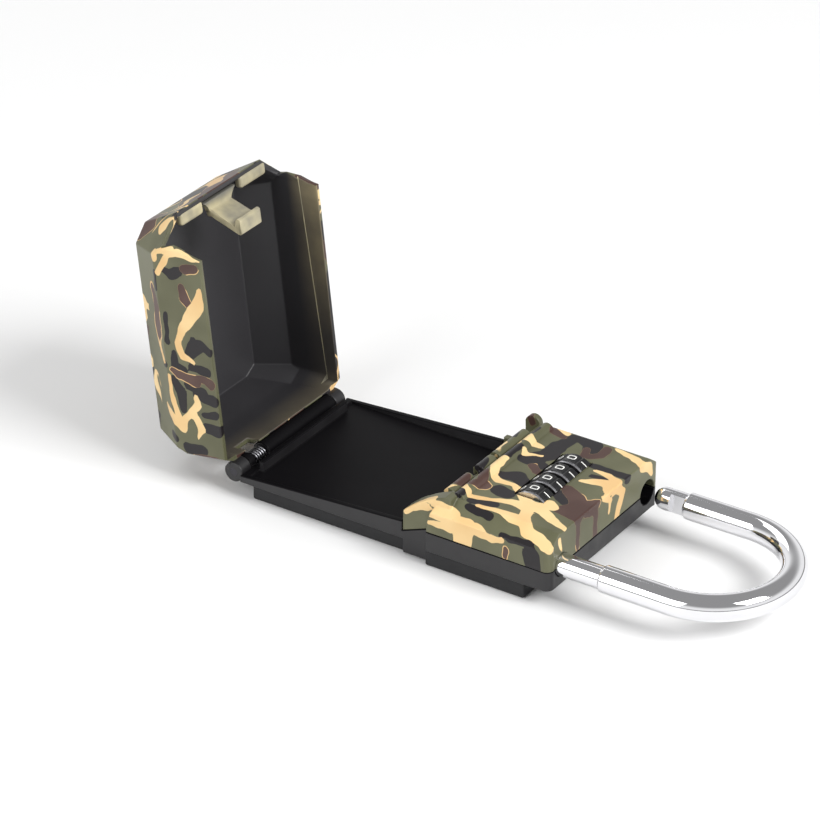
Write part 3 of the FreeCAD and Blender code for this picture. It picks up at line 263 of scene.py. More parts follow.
def camouflage(name, freeFrom, stretch, turn, shift):
    # hard-edged patches: brushed ones, and free ones where no brush goes
    look = Look(name, coat["olive"], roughness=coat["roughness"])
    scaled = look.mapped((1 / mm,) * 3)
    swing = look.add("ShaderNodeVectorMath", operation="MULTIPLY_ADD")
    look.feed(swing.inputs[0], look.noise(*coat["swing"]["noise"], source=scaled, output="Color"))
    look.feed(swing.inputs[1], (coat["swing"]["reach"],) * 3)
    look.feed(swing.inputs[2], scaled)
    cloudy = look.mapped(stretch, shift, turn, swing.outputs["Vector"])
    patches = look.add("ShaderNodeSeparateXYZ")
    attribute = look.add("ShaderNodeAttribute", attribute_name="patches")
    look.feed(patches.inputs[0], attribute.outputs["Vector"])
    outside = dict(zip(coat["layers"], patches.outputs))
    held = look.ranged(look.along(*freeFrom), *coat["fading"])
    tint = look.noise(*coat["shades"]["noise"], source=scaled)

    def field(form):
        return look.noise(*form["noise"], source=look.mapped(shift=form["shift"], source=cloudy))

    def steep(value, level):
        return look.math("MULTIPLY", look.math("SUBTRACT", value, level), coat["steepness"])

    def cloud(layer):
        form = coat["clouds"][layer]
        return steep(look.math("SUBTRACT", field(form), held), form["from"])

    def inside(layer, free):
        # above nought where a brushed or a free patch lies
        return look.math("MAXIMUM", look.math("MULTIPLY", outside[layer], -1.0), free)

    def shaded(layer):
        return look.mix(look.ranged(tint, *coat["shades"][layer]), coat[layer], coat[layer + "Shade"])

    def layered(color, paint, patch):
        return look.mix(look.ranged(patch, 0.0, coat["edge"]), color, paint)

    color = layered(shaded("olive"), coat["charcoal"], inside("charcoal", cloud("charcoal")))
    brown = inside("brown", cloud("brown"))
    rim = look.math("ADD", brown, look.ranged(tint, *coat["creamRim"]))
    color = layered(color, coat["creamShade"], rim)
    color = layered(color, shaded("brown"), brown)
    # cream swoops follow a level line of their field and taper to points
    away = look.math("ABSOLUTE", look.math("SUBTRACT", field(coat["swoop"]), coat["swoop"]["from"]))
    width = look.math("SUBTRACT", field(coat["swoopWidth"]), held)
    swoop = steep(look.ranged(width, *coat["swoop"]["widths"]), away)
    look.give("Base Color", layered(color, shaded("cream"), inside("cream", swoop)))
    look.bump(look.noise(*coat["grain"]), coat["grainDepth"], coat["grainStrength"])
    look.give("Specular IOR Level", coat["shine"])
    return look.material


# plain finishes: clouds of two tones, and a grain with its depth in mm
plastics = {
    "moulded black": {"tone": "1a191b", "tones": ("161517", "212022"), "cloud": (45, 3.0, 0.55),
                      "roughness": 0.42, "worn": (0.3, 0.7, 0.34, 0.5), "wornCloud": (160, 3.0),
                      "grain": (3800, 2.0), "depth": 0.03, "strength": 0.4},
    # painted shade: the faces that look up get this darker, duller black in place of the moulded black
    "shaded tray black": {"tone": "0d0c0e", "tones": ("0b0a0c", "121113"), "cloud": (45, 3.0, 0.55),
                   "roughness": 0.45, "shine": 0.06, "grain": (3800, 2.0), "depth": 0.03,
                   "strength": 0.4},
    "soft pad": {"tone": "1c1c1e", "tones": ("161617", "242426"), "cloud": (220, 4.0, 0.7),
                 "roughness": 0.8, "grain": (1500, 4.0, 0.65), "depth": 0.1, "strength": 0.6},
    "dial black": {"tone": "121214", "tones": ("0f0f10", "19191b"), "cloud": (300, 3.0),
                   "roughness": 0.3, "grain": (5000, 2.0), "depth": 0.01, "strength": 0.3},
    "digit white": {"tone": "f2f2ee", "tones": ("e9e9e4", "f8f8f4"), "cloud": (1500, 2.0),
                    "roughness": 0.5},
    "sleeve plastic": {"tone": "2e2e31", "tones": ("29292b", "343437"), "cloud": (200, 2.0),
                       "roughness": 0.5, "grain": (3000, 2.0), "depth": 0.02, "strength": 0.3},
}


def plastic(name):
    form = plastics[name]
    look = Look(name, srgb(form["tone"]), roughness=form["roughness"])
    dark, pale = form["tones"]
    look.give("Base Color", look.mix(look.noise(*form["cloud"]), srgb(dark), srgb(pale)))
    if "worn" in form:
        look.give("Roughness", look.ranged(look.noise(*form["wornCloud"]), *form["worn"]))
    if "shine" in form:
        look.give("Specular IOR Level", form["shine"])
    if "grain" in form:
        look.bump(look.noise(*form["grain"]), form["depth"], form["strength"])
    return look.material


# the inside of the lid, in mm along from the hinge and deep from the rim
casting = {
    "tone": "2d2c2f", "tones": ("29282a", "38373a"), "cloud": (26, 2.0), "roughness": 0.48,
    "spray": "9f9270", "sprayDeep": (13.0, 0.5), "sprayHigh": (20.0, 88.0, 0.12, 1.0),
    "sprayFoot": (3.0, 9.0, 0.28, 0.0), "sprayCloud": (60, 3.0, 0.6),
    "sprayShare": (0.25, 0.65, 0.45, 1.0),
    "grain": (2400, 3.0), "depth": 0.03, "strength": 0.35,
}


def lidInside():
    # dark casting with some of the coat's spray blown in over the rim
    look = Look("lid inside", srgb(casting["tone"]), roughness=casting["roughness"])
    dark, pale = casting["tones"]
    color = look.mix(look.noise(*casting["cloud"]), srgb(dark), srgb(pale))
    near = look.ranged(look.along(lidDeep, lidStart), *casting["sprayDeep"])
    climb = look.along(lidAlong, lidStart)
    high = look.math("MAXIMUM", look.ranged(climb, *casting["sprayHigh"]),
                     look.ranged(climb, *casting["sprayFoot"]))
    cloud = look.ranged(look.noise(*casting["sprayCloud"]), *casting["sprayShare"])
    blown = look.math("MULTIPLY", look.math("MULTIPLY", near, high), cloud)
    look.give("Base Color", look.mix(blown, color, srgb(casting["spray"])))
    look.bump(look.noise(*casting["grain"]), casting["depth"], casting["strength"])
    return look.material


# the parts in the lid's end that the spray covers
sprayed = {
    "tone": "b7ad8c", "tones": ("8c8776", "c9be98"), "cloud": (70, 3.0, 0.55), "share": (0.35, 0.65),
    "roughness": 0.45, "grain": (900, 4.0, 0.6), "depth": 0.08, "strength": 0.5,
    "plate": "66655f", "plateFrom": (86.5, 89.5), "plateHalf": (10.9, 10.7),
}


def sprayedCasting():
    look = Look("sprayed casting", srgb(sprayed["tone"]), roughness=sprayed["roughness"])
    dark, pale = sprayed["tones"]
    cloud = look.ranged(look.noise(*sprayed["cloud"]), *sprayed["share"])
    color = look.mix(cloud, srgb(dark), srgb(pale))
    # the hook's plate against the wall is barely sprayed
    high = look.ranged(look.along(lidAlong, lidStart), *sprayed["plateFrom"])
    middle = look.ranged(look.math("ABSOLUTE", look.along((0, 1, 0))), *sprayed["plateHalf"])
    look.give("Base Color", look.mix(look.math("MULTIPLY", high, middle), color,
                                     srgb(sprayed["plate"])))
    look.bump(look.noise(*sprayed["grain"]), sprayed["depth"], sprayed["strength"])
    return look.material


polished = {
    "tone": (0.80, 0.80, 0.82, 1), "roughness": 0.06, "wear": (900, 4.0, 0.6),
    "drawn": (0.06, 1, 1), "worn": (0.35, 0.75, 0.035, 0.10),
}


def polishedSteel():
    look = Look("polished steel", polished["tone"], 1.0, polished["roughness"])
    wear = look.noise(*polished["wear"], source=look.mapped(polished["drawn"]))
    look.give("Roughness", look.ranged(wear, *polished["worn"]))
    return look.material


# the other metals: tone, roughness and how their brushing is stretched
steels = {
    "dark steel": ("47464a", 0.4, (1, 0.1, 1)), "plain steel": ("a9a9ac", 0.35, (1, 0.1, 1)),
    "spring steel": ("8f8f93", 0.3, (1, 1, 1)), "disc metal": ("c4c4c8", 0.3, (1, 0.1, 1)),
}
brushing = {"noise": (1200, 3.0, 0.6), "from": (0.3, 0.7), "spread": (-0.08, 0.1), "depth": 0.02,
            "strength": 0.3}


def steel(name):
    tone, roughness, stretch = steels[name]
    look = Look(name, srgb(tone), metallic=1.0, roughness=roughness)
    brush = look.noise(*brushing["noise"], source=look.mapped(stretch))
    rough = [roughness + change for change in brushing["spread"]]
    look.give("Roughness", look.ranged(brush, *brushing["from"], *rough))
    look.bump(brush, brushing["depth"], brushing["strength"])
    return look.material


finishes = {
    "camoHead": camouflage("camouflage coat head", freeFrom=((0, 1, 0), (0, 0.060, 0)),
                           stretch=(0.75, 1.0, 1.0), turn=(0, 0, 24), shift=(4, 3, 0)),
    "camoLid": camouflage("camouflage coat lid", freeFrom=((0, 1, 0), (0, -0.0355, 0)),
                          stretch=(1.0, 1.0, 0.7), turn=(12, 8, 0), shift=(0, 5, 9)),
    "mouldedBlack": plastic("moulded black"), "shadedTrayBlack": plastic("shaded tray black"),
    "softPad": plastic("soft pad"), "lidInside": lidInside(), "sprayedCasting": sprayedCasting(),
    "polishedSteel": polishedSteel(), "digitWhite": plastic("digit white"),
    "dialBlack": plastic("dial black"), "sleevePlastic": plastic("sleeve plastic"),
    "darkSteel": steel("dark steel"), "plainSteel": steel("plain steel"),
    "springSteel": steel("spring steel"), "discMetal": steel("disc metal"),
}
print("materials ready")


def paint(item, finish):
    item.data.materials.clear()
    item.data.materials.append(finishes[finish])


dialNumbers = range(1, 5)
cadFinishes = {
    "cover_screws": "plainSteel", "dial_spindle": "plainSteel", "code_fence": "plainSteel",
    "click_spring": "springSteel", "toe_bolt": "plainSteel", "reset_lever": "sleevePlastic",
    "shackle": "polishedSteel", "latch_slide": "plainSteel", "hinge_pin": "darkSteel",
    "shackle_spring": "springSteel", "toe_bolt_spring": "springSteel",
    "hinge_spring": "springSteel", "back_pad": "softPad", "base_body": "mouldedBlack",
    "lock_cover": "camoHead", "lid_shell": "camoLid", "latch_hook": "sprayedCasting",
}
for name, finish in cadFinishes.items():
    paint(nodes[name], finish)
for number in dialNumbers:
    paint(nodes["dial_%d" % number], "dialBlack")
    paint(nodes["code_disc_%d" % number], "discMetal")
    paint(nodes["dial_sleeve_%d" % number], "sleevePlastic")
print("CAD pieces painted")


def shade(item, sharpFrom):
    # smooth shading that keeps edges sharper than an angle
    mesh = item.data
    mesh.shade_smooth()
    mesh.set_sharp_from_angle(angle=math.radians(sharpFrom))
    even = item.modifiers.new("even normals", "WEIGHTED_NORMAL")
    even.keep_sharp = True


def placed(name, mesh, body):
    item = bpy.data.objects.new(name, mesh)
    bpy.context.scene.collection.objects.link(item)
    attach(item, body)
    return item


def blank(name, *finish):
    mesh = bpy.data.meshes.new(name)
    for part in finish:
        mesh.materials.append(finishes[part])
    return mesh


# how the edges of CAD pieces are rounded: lengths in mm, angles in degrees unless a note says else
rounding = {
    "merged": 0.002, "cut": 0.001,      # corners and cuts closer than this are one
    "flat": 0.6,                        # weaker bends inside a face are taken out
    "bend": 0.05, "needle": 0.88,       # radians of a real edge, cosine of a needle's angle
    "level": 0.99, "levelWithin": 0.1,  # rise of a level face's normal, and how far off it may lie
    "folded": 3.0,                      # radians between faces that lie on each other
    "trials": 12, "cramped": 2.2,       # reach of a fault, in widths of the rounding
    "sharpFrom": 42,                    # bends from here on stay sharp in the shading
}


def needled(vert):
    # whether two real edges meet here at so sharp an angle that rounding would overshoot
    rays = [(edge.other_vert(vert).co - vert.co).normalized() for edge in vert.link_edges
            if edge.calc_face_angle(0) > rounding["bend"]]
    return any(first.dot(second) > rounding["needle"] for index, first in enumerate(rays)
               for second in rays[index + 1:])


def halved(shape, parts, axis, place):
    # cut some parts across an axis
    spot, facing = Vector(), Vector()
    spot[axis] = place
    facing[axis] = 1
    return bmesh.ops.bisect_plane(shape, geom=parts, dist=rounding["cut"] * mm, plane_co=spot,
                                  plane_no=facing)


def partsOf(faces):
    # the faces with their edges and corners, each once and in a fixed order
    return list(dict.fromkeys(part for face in faces for part in (face, *face.edges, *face.verts)))


def scored(shape, height, lines):
    # split a level face along a hole's sides, so that no long sliver hangs on the hole's corners
    for axis, place in lines:
        level = [face for face in shape.faces if face.normal.z > rounding["level"]
                 and abs(face.calc_center_median().z - height * mm) < rounding["levelWithin"] * mm]
        for part in halved(shape, partsOf(level), axis, place * mm)["geom_cut"]:
            if isinstance(part, bmesh.types.BMEdge):
                part.seam = True


def gridded(shape, wanted, spacing):
    # cut the wanted faces into cells along the three axes
    faces = [face for face in shape.faces if wanted(face)]
    corners = [vert.co.copy() for face in faces for vert in face.verts]
    parts = partsOf(faces)
    for axis in range(3):
        low = min(corner[axis] for corner in corners)
        count = int((max(corner[axis] for corner in corners) - low) / (spacing * mm))
        for index in range(count):
            parts = halved(shape, parts, axis, low + (index + 0.5) * spacing * mm)["geom"]
    flattened(shape)


def flattened(shape):
    # faces with more than four corners are made triangles
    bmesh.ops.triangulate(shape, faces=[face for face in shape.faces if len(face.verts) > 4],
                          quad_method="BEAUTY", ngon_method="BEAUTY")


def folds(shape):
    # the ends of edges whose two faces lie folded on each other
    return [vert.co.copy() for edge in shape.edges for vert in edge.verts
            if len(edge.link_faces) == 2 and edge.calc_face_angle(0) > rounding["folded"]]


def apart(first, second):
    # whether two flat lines can't touch, because they lie apart along an axis
    return any(max(start, end) < min(low, high) or max(low, high) < min(start, end)
               for start, end, low, high in zip(*first, *second))


def straddled(start, end, others):
    # whether two flat points lie on both sides of a line
    first, second = ((end[0] - start[0]) * (other[1] - start[1])
                     - (end[1] - start[1]) * (other[0] - start[0]) for other in others)
    return first * second < 0


def crossings(shape):
    # where the outline of a face runs over itself: the middle of the shorter edge
    spots = []
    for face in shape.faces:
        count = len(face.verts)
        if count <= 4:
            continue
        skipped = max(range(3), key=lambda axis: abs(face.normal[axis]))
        flat = [[value for axis, value in enumerate(vert.co) if axis != skipped] for vert in face.verts]
        sides = list(zip(flat, flat[1:] + flat[:1]))
        for one in range(count):
            for two in range(one + 2, count - (one == 0)):
                first, second = sides[one], sides[two]
                if (apart(first, second) or not straddled(*first, second)
                        or not straddled(*second, first)):
                    continue
                lengths = [(Vector(end) - Vector(start)).length for start, end in (first, second)]
                index = one if lengths[0] < lengths[1] else two
                spots.append(face.verts[index].co.lerp(face.verts[(index + 1) % count].co, 0.5))
    return spots


def near(edge, spot, reach):
    # whether an edge passes within reach of a spot
    first, second = (vert.co for vert in edge.verts)
    share = intersect_point_line(spot, first, second)[1]
    return (first.lerp(second, min(max(share, 0), 1)) - spot).length < reach


def rounded(shape, chosen, width, steps):
    # the bevel, less the short edges where it would run a face over itself
    for _ in range(rounding["trials"]):
        trial = shape.copy()
        trial.edges.ensure_lookup_table()
        bmesh.ops.bevel(trial, geom=[trial.edges[index] for index in chosen], offset=width * mm,
                        offset_type="OFFSET", segments=steps, profile=0.5, affect="EDGES",
                        clamp_overlap=False, material=-1)
        trial.normal_update()
        flat = trial.copy()
        flattened(flat)
        flat.normal_update()
        spots = crossings(trial) + folds(flat)
        flat.free()
        cramped = set()
        for spot in spots:
            close = [(shape.edges[index].calc_length(), index) for index in chosen
                     if near(shape.edges[index], spot, rounding["cramped"] * width * mm)]
            if close:
                cramped.add(min(close)[1])
        if not cramped:
            break
        chosen = [index for index in chosen if index not in cramped]
        trial.free()
    shape.free()
    return trial


def anywhere(point):
    return True


def softened(node, name, body, finish, edges, where=anywhere, sorting=None, score=None,
             brush=None):
    # a copy of a CAD node with its edges rounded, standing for that node
    width, leastBend, steps = edges
    shape = bmesh.new()
    shape.from_mesh(nodes[node].data)
    bmesh.ops.remove_doubles(shape, verts=shape.verts, dist=rounding["merged"] * mm)
    if score:
        scored(shape, *score)
    bmesh.ops.dissolve_limit(shape, angle_limit=math.radians(rounding["flat"]), verts=shape.verts,
                             edges=shape.edges, delimit={"SEAM"})
    bmesh.ops.recalc_face_normals(shape, faces=shape.faces)
    shape.edges.index_update()
    shape.edges.ensure_lookup_table()
    chosen = [edge.index for edge in shape.edges
              if len(edge.link_faces) == 2
              and edge.calc_face_angle(0) > math.radians(leastBend)
              and edge.calc_length() > width * mm
              and not any(needled(vert) for vert in edge.verts)
              and where((edge.verts[0].co + edge.verts[1].co) / 2)]
    shape = rounded(shape, chosen, width, steps)
    flattened(shape)
    if sorting:
        shape.normal_update()
        for face in shape.faces:
            face.material_index = sorting(face)
    if brush:
        strokes, place, shows = brush
        gridded(shape, shows, coat["spacing"])
    mesh = blank(name, *finish)
    shape.to_mesh(mesh)
    shape.free()
    if brush:
        brushed(mesh, strokes, place)
    item = placed(name, mesh, body)
    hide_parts(node)
    shade(item, rounding["sharpFrom"])
    return item


# the patches are laid out by brush strokes: each is a run of spots with a half width, in mm
# on the lid's near side along, deep, width, from the hinge and from the rim
lidStrokes = {
    "charcoal": [
        [(4.5, 16, 1.9), (5, 9, 1.8)], [(11, 27, 1.6), (7, 21.5, 1.5)],
        [(21, 15.5, 1.3), (27, 15.3, 2.0), (32, 18, 1.3)], [(15, 6, 1.6), (14.5, 1, 2.2)],
        [(28, 9, 1.8), (27, 2, 2.2)], [(37, 13, 1.0), (38, 17, 1.4), (43, 16.8, 0.9)],
        [(31, 12, 1.6), (30, 6, 1.4)], [(38.5, 10, 1.0), (38, 3, 1.6)], [(20, 7, 0.8), (21, 2, 1.4)],
        [(42.5, 10.5, 1.6), (46, 8, 2.6), (48, 4, 1.8), (46, 1, 1.4)], [(50, 7.5, 0.8), (47, 8, 1.8)],
        [(75.4, 16.5, 0.8), (73.8, 13.5, 1.5), (75.5, 10.5, 1.4), (77, 8.5, 0.4)],
        [(47, 19.5, 1.0), (58, 19, 0.8)],
        [(29, 27, 1.0), (34, 25.8, 1.4), (37.5, 22, 1.3)], [(68, 22, 1.0), (74, 21, 0.8)],
        [(88, 24, 1.8), (83, 26, 1.4)],
    ],
    "brown": [
        [(36, 18.3, 0.6), (34.2, 15.5, 1.3), (33.6, 9, 1.7), (35.3, 6.5, 0.9), (33.5, 2, 1.7)],
        [(38, 23, 0.9), (44, 25.5, 2.2), (52, 25, 3.0), (60, 24.5, 2.6), (66, 26, 2.6),
         (76, 27.5, 1.2)],
        [(70, 31, 2.0), (58, 29, 2.6), (47, 31, 2.2), (38, 29, 1.4)],
        [(25, 32, 1.8), (14, 30, 1.6)],
        [(61, 4.6, 0.8), (66, 9, 1.8), (70, 10, 1.2)], [(77, 7.5, 1.3), (78, 3.5, 1.5)],
        [(1, 13, 1.3), (1.5, 4, 1.8)],
    ],
    "cream": [
        [(40.3, 9, 0.4), (42.2, 13.3, 1.0), (47.5, 14.8, 1.3), (53, 12.3, 1.6), (58, 7.5, 2.0),
         (63, 3, 2.2), (70, 1.5, 0.7)],
        [(22, 28, 3.0), (18.5, 24, 2.2), (15, 20, 1.6), (12, 17, 1.2), (17, 16, 1.0), (19.2, 12.5, 1.1),
         (23.5, 9, 1.0), (27.5, 10, 0.4)],
        [(23.5, 26.8, 1.4), (30, 25, 0.7), (36, 23.2, 0.3)],
        [(17.5, 18.5, 1.0), (27, 20.3, 0.8), (33, 20, 0.4)],
        [(9.8, 10.6, 0.4), (14, 8.4, 1.3), (19, 11, 1.2)],
        [(73.8, 19, 0.8), (78, 16, 1.1), (81.5, 14, 0.8), (83, 10.5, 1.0), (82, 5, 0.8),
         (81.3, 0.5, 0.4)],
        [(79, 20, 0.9), (83.5, 21, 1.5), (88, 20.5, 2.4), (92, 17, 2.2)],
        [(82.3, 20, 0.8), (84, 13, 1.1)],
    ],
}
# edges are the rounding's width in mm, the least bend in degrees that is rounded, and its steps
lid = {
    "edges": (0.45, 20, 3), "hookEdges": (0.6, 25, 3), "cavity": (45.0, 0.0, 15.0),
    "knuckleReach": 3.95, "barrelHalf": 27.0, "side": -37, "brushedTo": -24.0,
    "mouthFrom": 80.0, "mouthNear": -26.0, "mouthFacing": -0.7,
    "ledge": (4.0, 9.0), "ledgeFrom": 30.0, "ledgeFacing": -0.5,
    "ribs": {"near": ((86.3, -23.6, 16.5), (91.2, -10.4, 19.8)),
             "far": ((86.3, 12.4, 16.5), (91.2, 28.1, 19.8))},
    "ribRound": 1.3, "ribSharpFrom": 60,
}


def onLid(along, deep, width):
    place = lidStart / mm + lidAlong * along + lidDeep * deep
    place.y = lid["side"]
    return place, width


def lidFinish(face):
    # 0 coat, 1 dark inside, 2 dark knuckles, 3 ledge in the light sprayed tone as a painted highlight
    # along the step
    middle = face.calc_center_median()
    place = inLid(middle)
    flat = middle - lidPlace["hinge"]
    if math.hypot(flat.x, flat.z) < lid["knuckleReach"] * mm and abs(place.y) > lid["barrelHalf"]:
        return 2
    out = Vector((face.normal.dot(lidAlong), face.normal.y, face.normal.dot(lidDeep)))
    if (out.z < lid["mouthFacing"] and place.x > lid["mouthFrom"]
            and place.y < lid["mouthNear"]):
        return 0
    # painted highlight: the step's ledge takes the lighter sprayed tone
    if (out.z < lid["ledgeFacing"] and lid["ledge"][0] < place.z < lid["ledge"][1]
            and place.y > lid["ledgeFrom"]):
        return 3
    return 1 if (place - Vector(lid["cavity"])).dot(out) < 0 else 0


def lidShows(face):
    # the coat on the lid's near side
    return face.material_index == 0 and face.calc_center_median().y < lid["brushedTo"] * mm


softened("lid_shell", "lid_coated_shell", "lid",
         ("camoLid", "lidInside", "mouldedBlack", "sprayedCasting"),
         lid["edges"], sorting=lidFinish, brush=(lidStrokes, onLid, lidShows))


def ribMesh(name, low, high):
    # a bar with rounded ends and edges, along the lid's end wall
    shape = bmesh.new()
    bmesh.ops.create_cube(shape, size=1.0)
    middle = (Vector(low) + Vector(high)) / 2
    size = Vector(high) - Vector(low)
    for vert in shape.verts:
        spot = middle + Vector(vert.co[axis] * size[axis] for axis in range(3))
        vert.co = lidStart + (lidAlong * spot.x + Vector((0, 1, 0)) * spot.y + lidDeep * spot.z) * mm
    bmesh.ops.recalc_face_normals(shape, faces=shape.faces)
    bmesh.ops.bevel(shape, geom=shape.edges[:], offset=lid["ribRound"] * mm, offset_type="OFFSET",
                    segments=5, profile=0.5, affect="EDGES", material=-1)
    mesh = blank(name, "sprayedCasting")
    shape.to_mesh(mesh)
    shape.free()
    return mesh


for side, (low, high) in lid["ribs"].items():
    shade(placed("lid_rib_" + side, ribMesh("lid_rib_" + side, low, high), "lid"), lid["ribSharpFrom"])


# on the head x, y, width on its top and sloped sides, or x, y, width, z on its upright sides
headStrokes = {
    "charcoal": [
        [(40, 28, 2.2), (37, 20, 3.2), (38, 12, 3.6), (33, 6, 2.8), (40, 5, 2.4)],
        [(42, 29.5, 1.8), (48, 27, 3.4), (50, 21, 2.6)],
        [(31, -8, 2.0), (37, -6, 2.8), (41, -8, 2.4)],
        [(36.5, -17.5, 3.0), (40.5, -18, 2.8)], [(33, -28.5, 1.8), (40, -27, 1.9)],
        [(33, -31.8, 0.9), (38, -32.6, 1.6), (42, -33, 1.2)],
        [(55, 14.5, 1.2), (62, 14.4, 1.6), (70, 14.8, 2.0)], [(58, 9, 0.7), (66, 9.2, 0.9)],
        [(55, -8, 2.4), (60, -11, 2.8)], [(50, -36, 0.8), (61, -36.2, 1.1)],
        [(62, -37, 3.2, 19), (62.5, -37, 3.0, 14)], [(27, 10, 1.6, 28.8), (27, 3, 1.7, 28.8)],
        [(26, 24, 1.5, 28.8), (26, 21, 1.2, 28.8)], [(27, -26, 1.2, 28.8), (28, -29, 1.4, 28.8)],
        [(64, 37, 3.0, 17), (52, 37, 3.6, 20), (44, 37, 2.0, 15)],
        [(21, -3, 1.4, 27), (22, -8.5, 1.6, 27)],
        [(21, 20, 1.0, 27), (22, 17, 1.0, 27)], [(20, 33, 1.0, 22.5), (18.5, 33, 1.6, 18)],
    ],
    "brown": [
        [(26, -11, 1.7, 28.6), (28.5, -16, 2.0, 28.4), (31, -18, 1.8), (27, -20, 1.6, 28.8)],
        [(21, -16, 1.6, 27), (22, -21, 1.7, 27)], [(19, 33, 1.5, 27.5), (21, 32.5, 1.3, 23)],
        [(56, -3, 2.4), (62, -8, 3.0), (66, -13, 3.8), (62, -16.5, 2.6), (70, -18, 2.6)],
        [(66, -13, 3.6), (70, -6, 2.4)], [(53.5, 28, 1.5), (54.3, 22.5, 1.7), (51, 19, 1.4)],
        [(47.5, 23.5, 1.3), (49, 19, 1.4)], [(31, 28.5, 1.7), (35.5, 27.2, 1.4)],
        [(38, 3, 1.6), (40.5, 0.5, 1.5)], [(69.6, -18, 1.2, 27), (69.6, -18.5, 0.8, 15)],
        [(69.6, -12, 1.2, 28), (69.6, -6.5, 1.3, 24), (69.6, -7, 1.1, 13)],
        [(52, -37, 0.9, 19), (51.5, -37, 0.7, 16)],
        [(34, 37, 3.0, 18), (27, 37, 1.6, 21)],
    ],
    "cream": [
        [(25.5, 18, 1.5, 28.6), (28, 16, 1.6, 28.6), (32.5, 15.4, 1.0)],
        [(25.3, 13.2, 0.8, 28.8), (31, 8.2, 0.9), (37, 11, 0.3)],
        [(21, 11, 1.4, 27), (22.5, 5, 1.3, 27)], [(22, -24, 1.0, 27), (21, -26.5, 0.8, 27)],
        [(27, 0.5, 1.6, 28.6), (27.5, -5, 1.8, 28.6), (29.5, -9.5, 1.3, 28), (33, -12, 1.3),
         (39, -11.2, 0.9), (43, -13.5, 1.4), (50, -19.5, 2.3), (58, -21.5, 2.0),
         (63, -24.5, 1.8), (68.5, -27, 0.9)],
        [(24.8, -22.8, 0.8, 28.6), (30.5, -26.5, 1.0), (38, -24, 1.2), (45, -22.3, 1.6),
         (52, -22.5, 2.4), (53, -28, 1.8), (58, -33, 1.7), (66, -35, 1.6), (70, -36.6, 1.3)],
        [(36, -30.4, 0.7), (44, -29.8, 1.2), (53, -30, 1.8)], [(55.5, -15, 1.4), (59.3, -17.4, 1.2)],
        [(46, -17.2, 0.5), (53, -18, 0.7), (59, -17.6, 1.0)],
        [(56.5, 5, 0.4), (62, 6, 1.7), (68, 7.5, 2.1), (70, 6, 2.2)],
        [(57.5, 12.2, 0.4), (63, 11.7, 0.8), (68, 10.4, 1.1), (70, 8, 1.8)],
        [(67, 5, 0.8), (70, 0.5, 0.7)],
        [(56, 30.5, 0.6), (61, 28.5, 1.0), (66, 27, 1.2), (70, 25.5, 1.5)],
        [(32, 30.6, 0.4), (36.5, 29.8, 1.0)], [(19, -35, 1.0, 25.5), (25, -34, 1.9), (30, -35, 1.3)],
        [(8.2, -34.4, 0.5, 18), (10, -34.4, 1.1, 20.5), (14, -34.4, 1.6, 22.5), (20, -36, 1.8, 23),
         (27, -37, 2.2, 22.3), (34, -37, 3.6, 20.5), (34, -37, 3.4, 14.5)],
        [(10, -34, 1.0, 22), (15, -33, 1.5, 25.5), (20, -33, 1.6, 27)],
        [(38, -37, 1.6, 21.2), (45, -37, 1.0, 20.8), (50.5, -37, 0.7, 22)],
        [(20.5, -37, 0.4, 18.5), (29, -37, 1.1, 18.4)],
        [(69.6, -1, 0.9, 27.4), (69.6, 3.6, 0.7, 24), (69.6, 2, 0.2, 18.5)],
        [(69.6, 7.5, 1.6, 27), (69.6, 11.5, 1.5, 23), (69.6, 9, 1.7, 17), (69.6, 8, 1.5, 13.5)],
        [(69.6, 25.5, 1.6, 27), (69.6, 30, 1.9, 24.5), (69.6, 31.5, 1.0, 21)],
        [(69.6, -31, 0.9, 25), (69.6, -29.6, 0.5, 20)],
        [(60, 37, 1.6, 21), (50, 37, 2.2, 16), (40, 37, 0.8, 20)],
    ],
}
head = {
    "edges": (0.45, 25, 3), "top": 27.56, "flatHalf": 30.6, "slope": 0.79,
    "window": (42.1, 54.2), "windowHalf": 16.3,
    "ceiling": 25.8, "sideFrom": 33.5, "frontFrom": 69.0, "slopeFrom": 20.5, "slopeFacing": 0.3,
    "rearWall": 26.0, "slideGap": 0.4,
}


def onHead(x, y, width, z=None):
    # a spot on the head, dropped onto the slope beside its flat top
    if z is None:
        z = head["top"] - max(0, abs(y) - head["flatHalf"]) * head["slope"]
    return Vector((x, y, z)), width


def headShows(face):
    # the head's outer faces: its top, its slopes and its upright outer walls
    middle = face.calc_center_median()
    return (middle.z > head["ceiling"] * mm or abs(middle.y) > head["sideFrom"] * mm
            or middle.x > head["frontFrom"] * mm
            or face.normal.z > head["slopeFacing"] and middle.z > head["slopeFrom"] * mm)


def awayFromSlide(point):
    # not in the rear wall's window, where the slide fits its sharp corners
    low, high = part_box("latch_slide")
    gap = head["slideGap"] * mm
    return point.x > head["rearWall"] * mm or not all(
        low[axis] - gap < point[axis] < high[axis] + gap for axis in (1, 2))


base = {"edges": (0.4, 25, 3), "openFacing": 0.2, "padEdges": (0.8, 25, 3)}


def trayShadeFinish(face):
    # 0 outer moulding, 1 what faces up into the tray, given a darker black with less shine as painted
    # shade
    return int(face.normal.z > base["openFacing"])


windowSides = ([(0, place) for place in head["window"]]
               + [(1, -head["windowHalf"]), (1, head["windowHalf"])])
softened("latch_hook", "lid_hook", "lid", ("sprayedCasting",), lid["hookEdges"])
softened("lock_cover", "head_coated_cover", "base", ("camoHead",),
         head["edges"], awayFromSlide, score=(head["top"], windowSides),
         brush=(headStrokes, onHead, headShows))
softened("base_body", "base_tray", "base", ("mouldedBlack", "shadedTrayBlack"),
         base["edges"], sorting=trayShadeFinish)
softened("back_pad", "base_pad", "base", ("softPad",), base["padEdges"])
print("lid, head, base and pad softened")


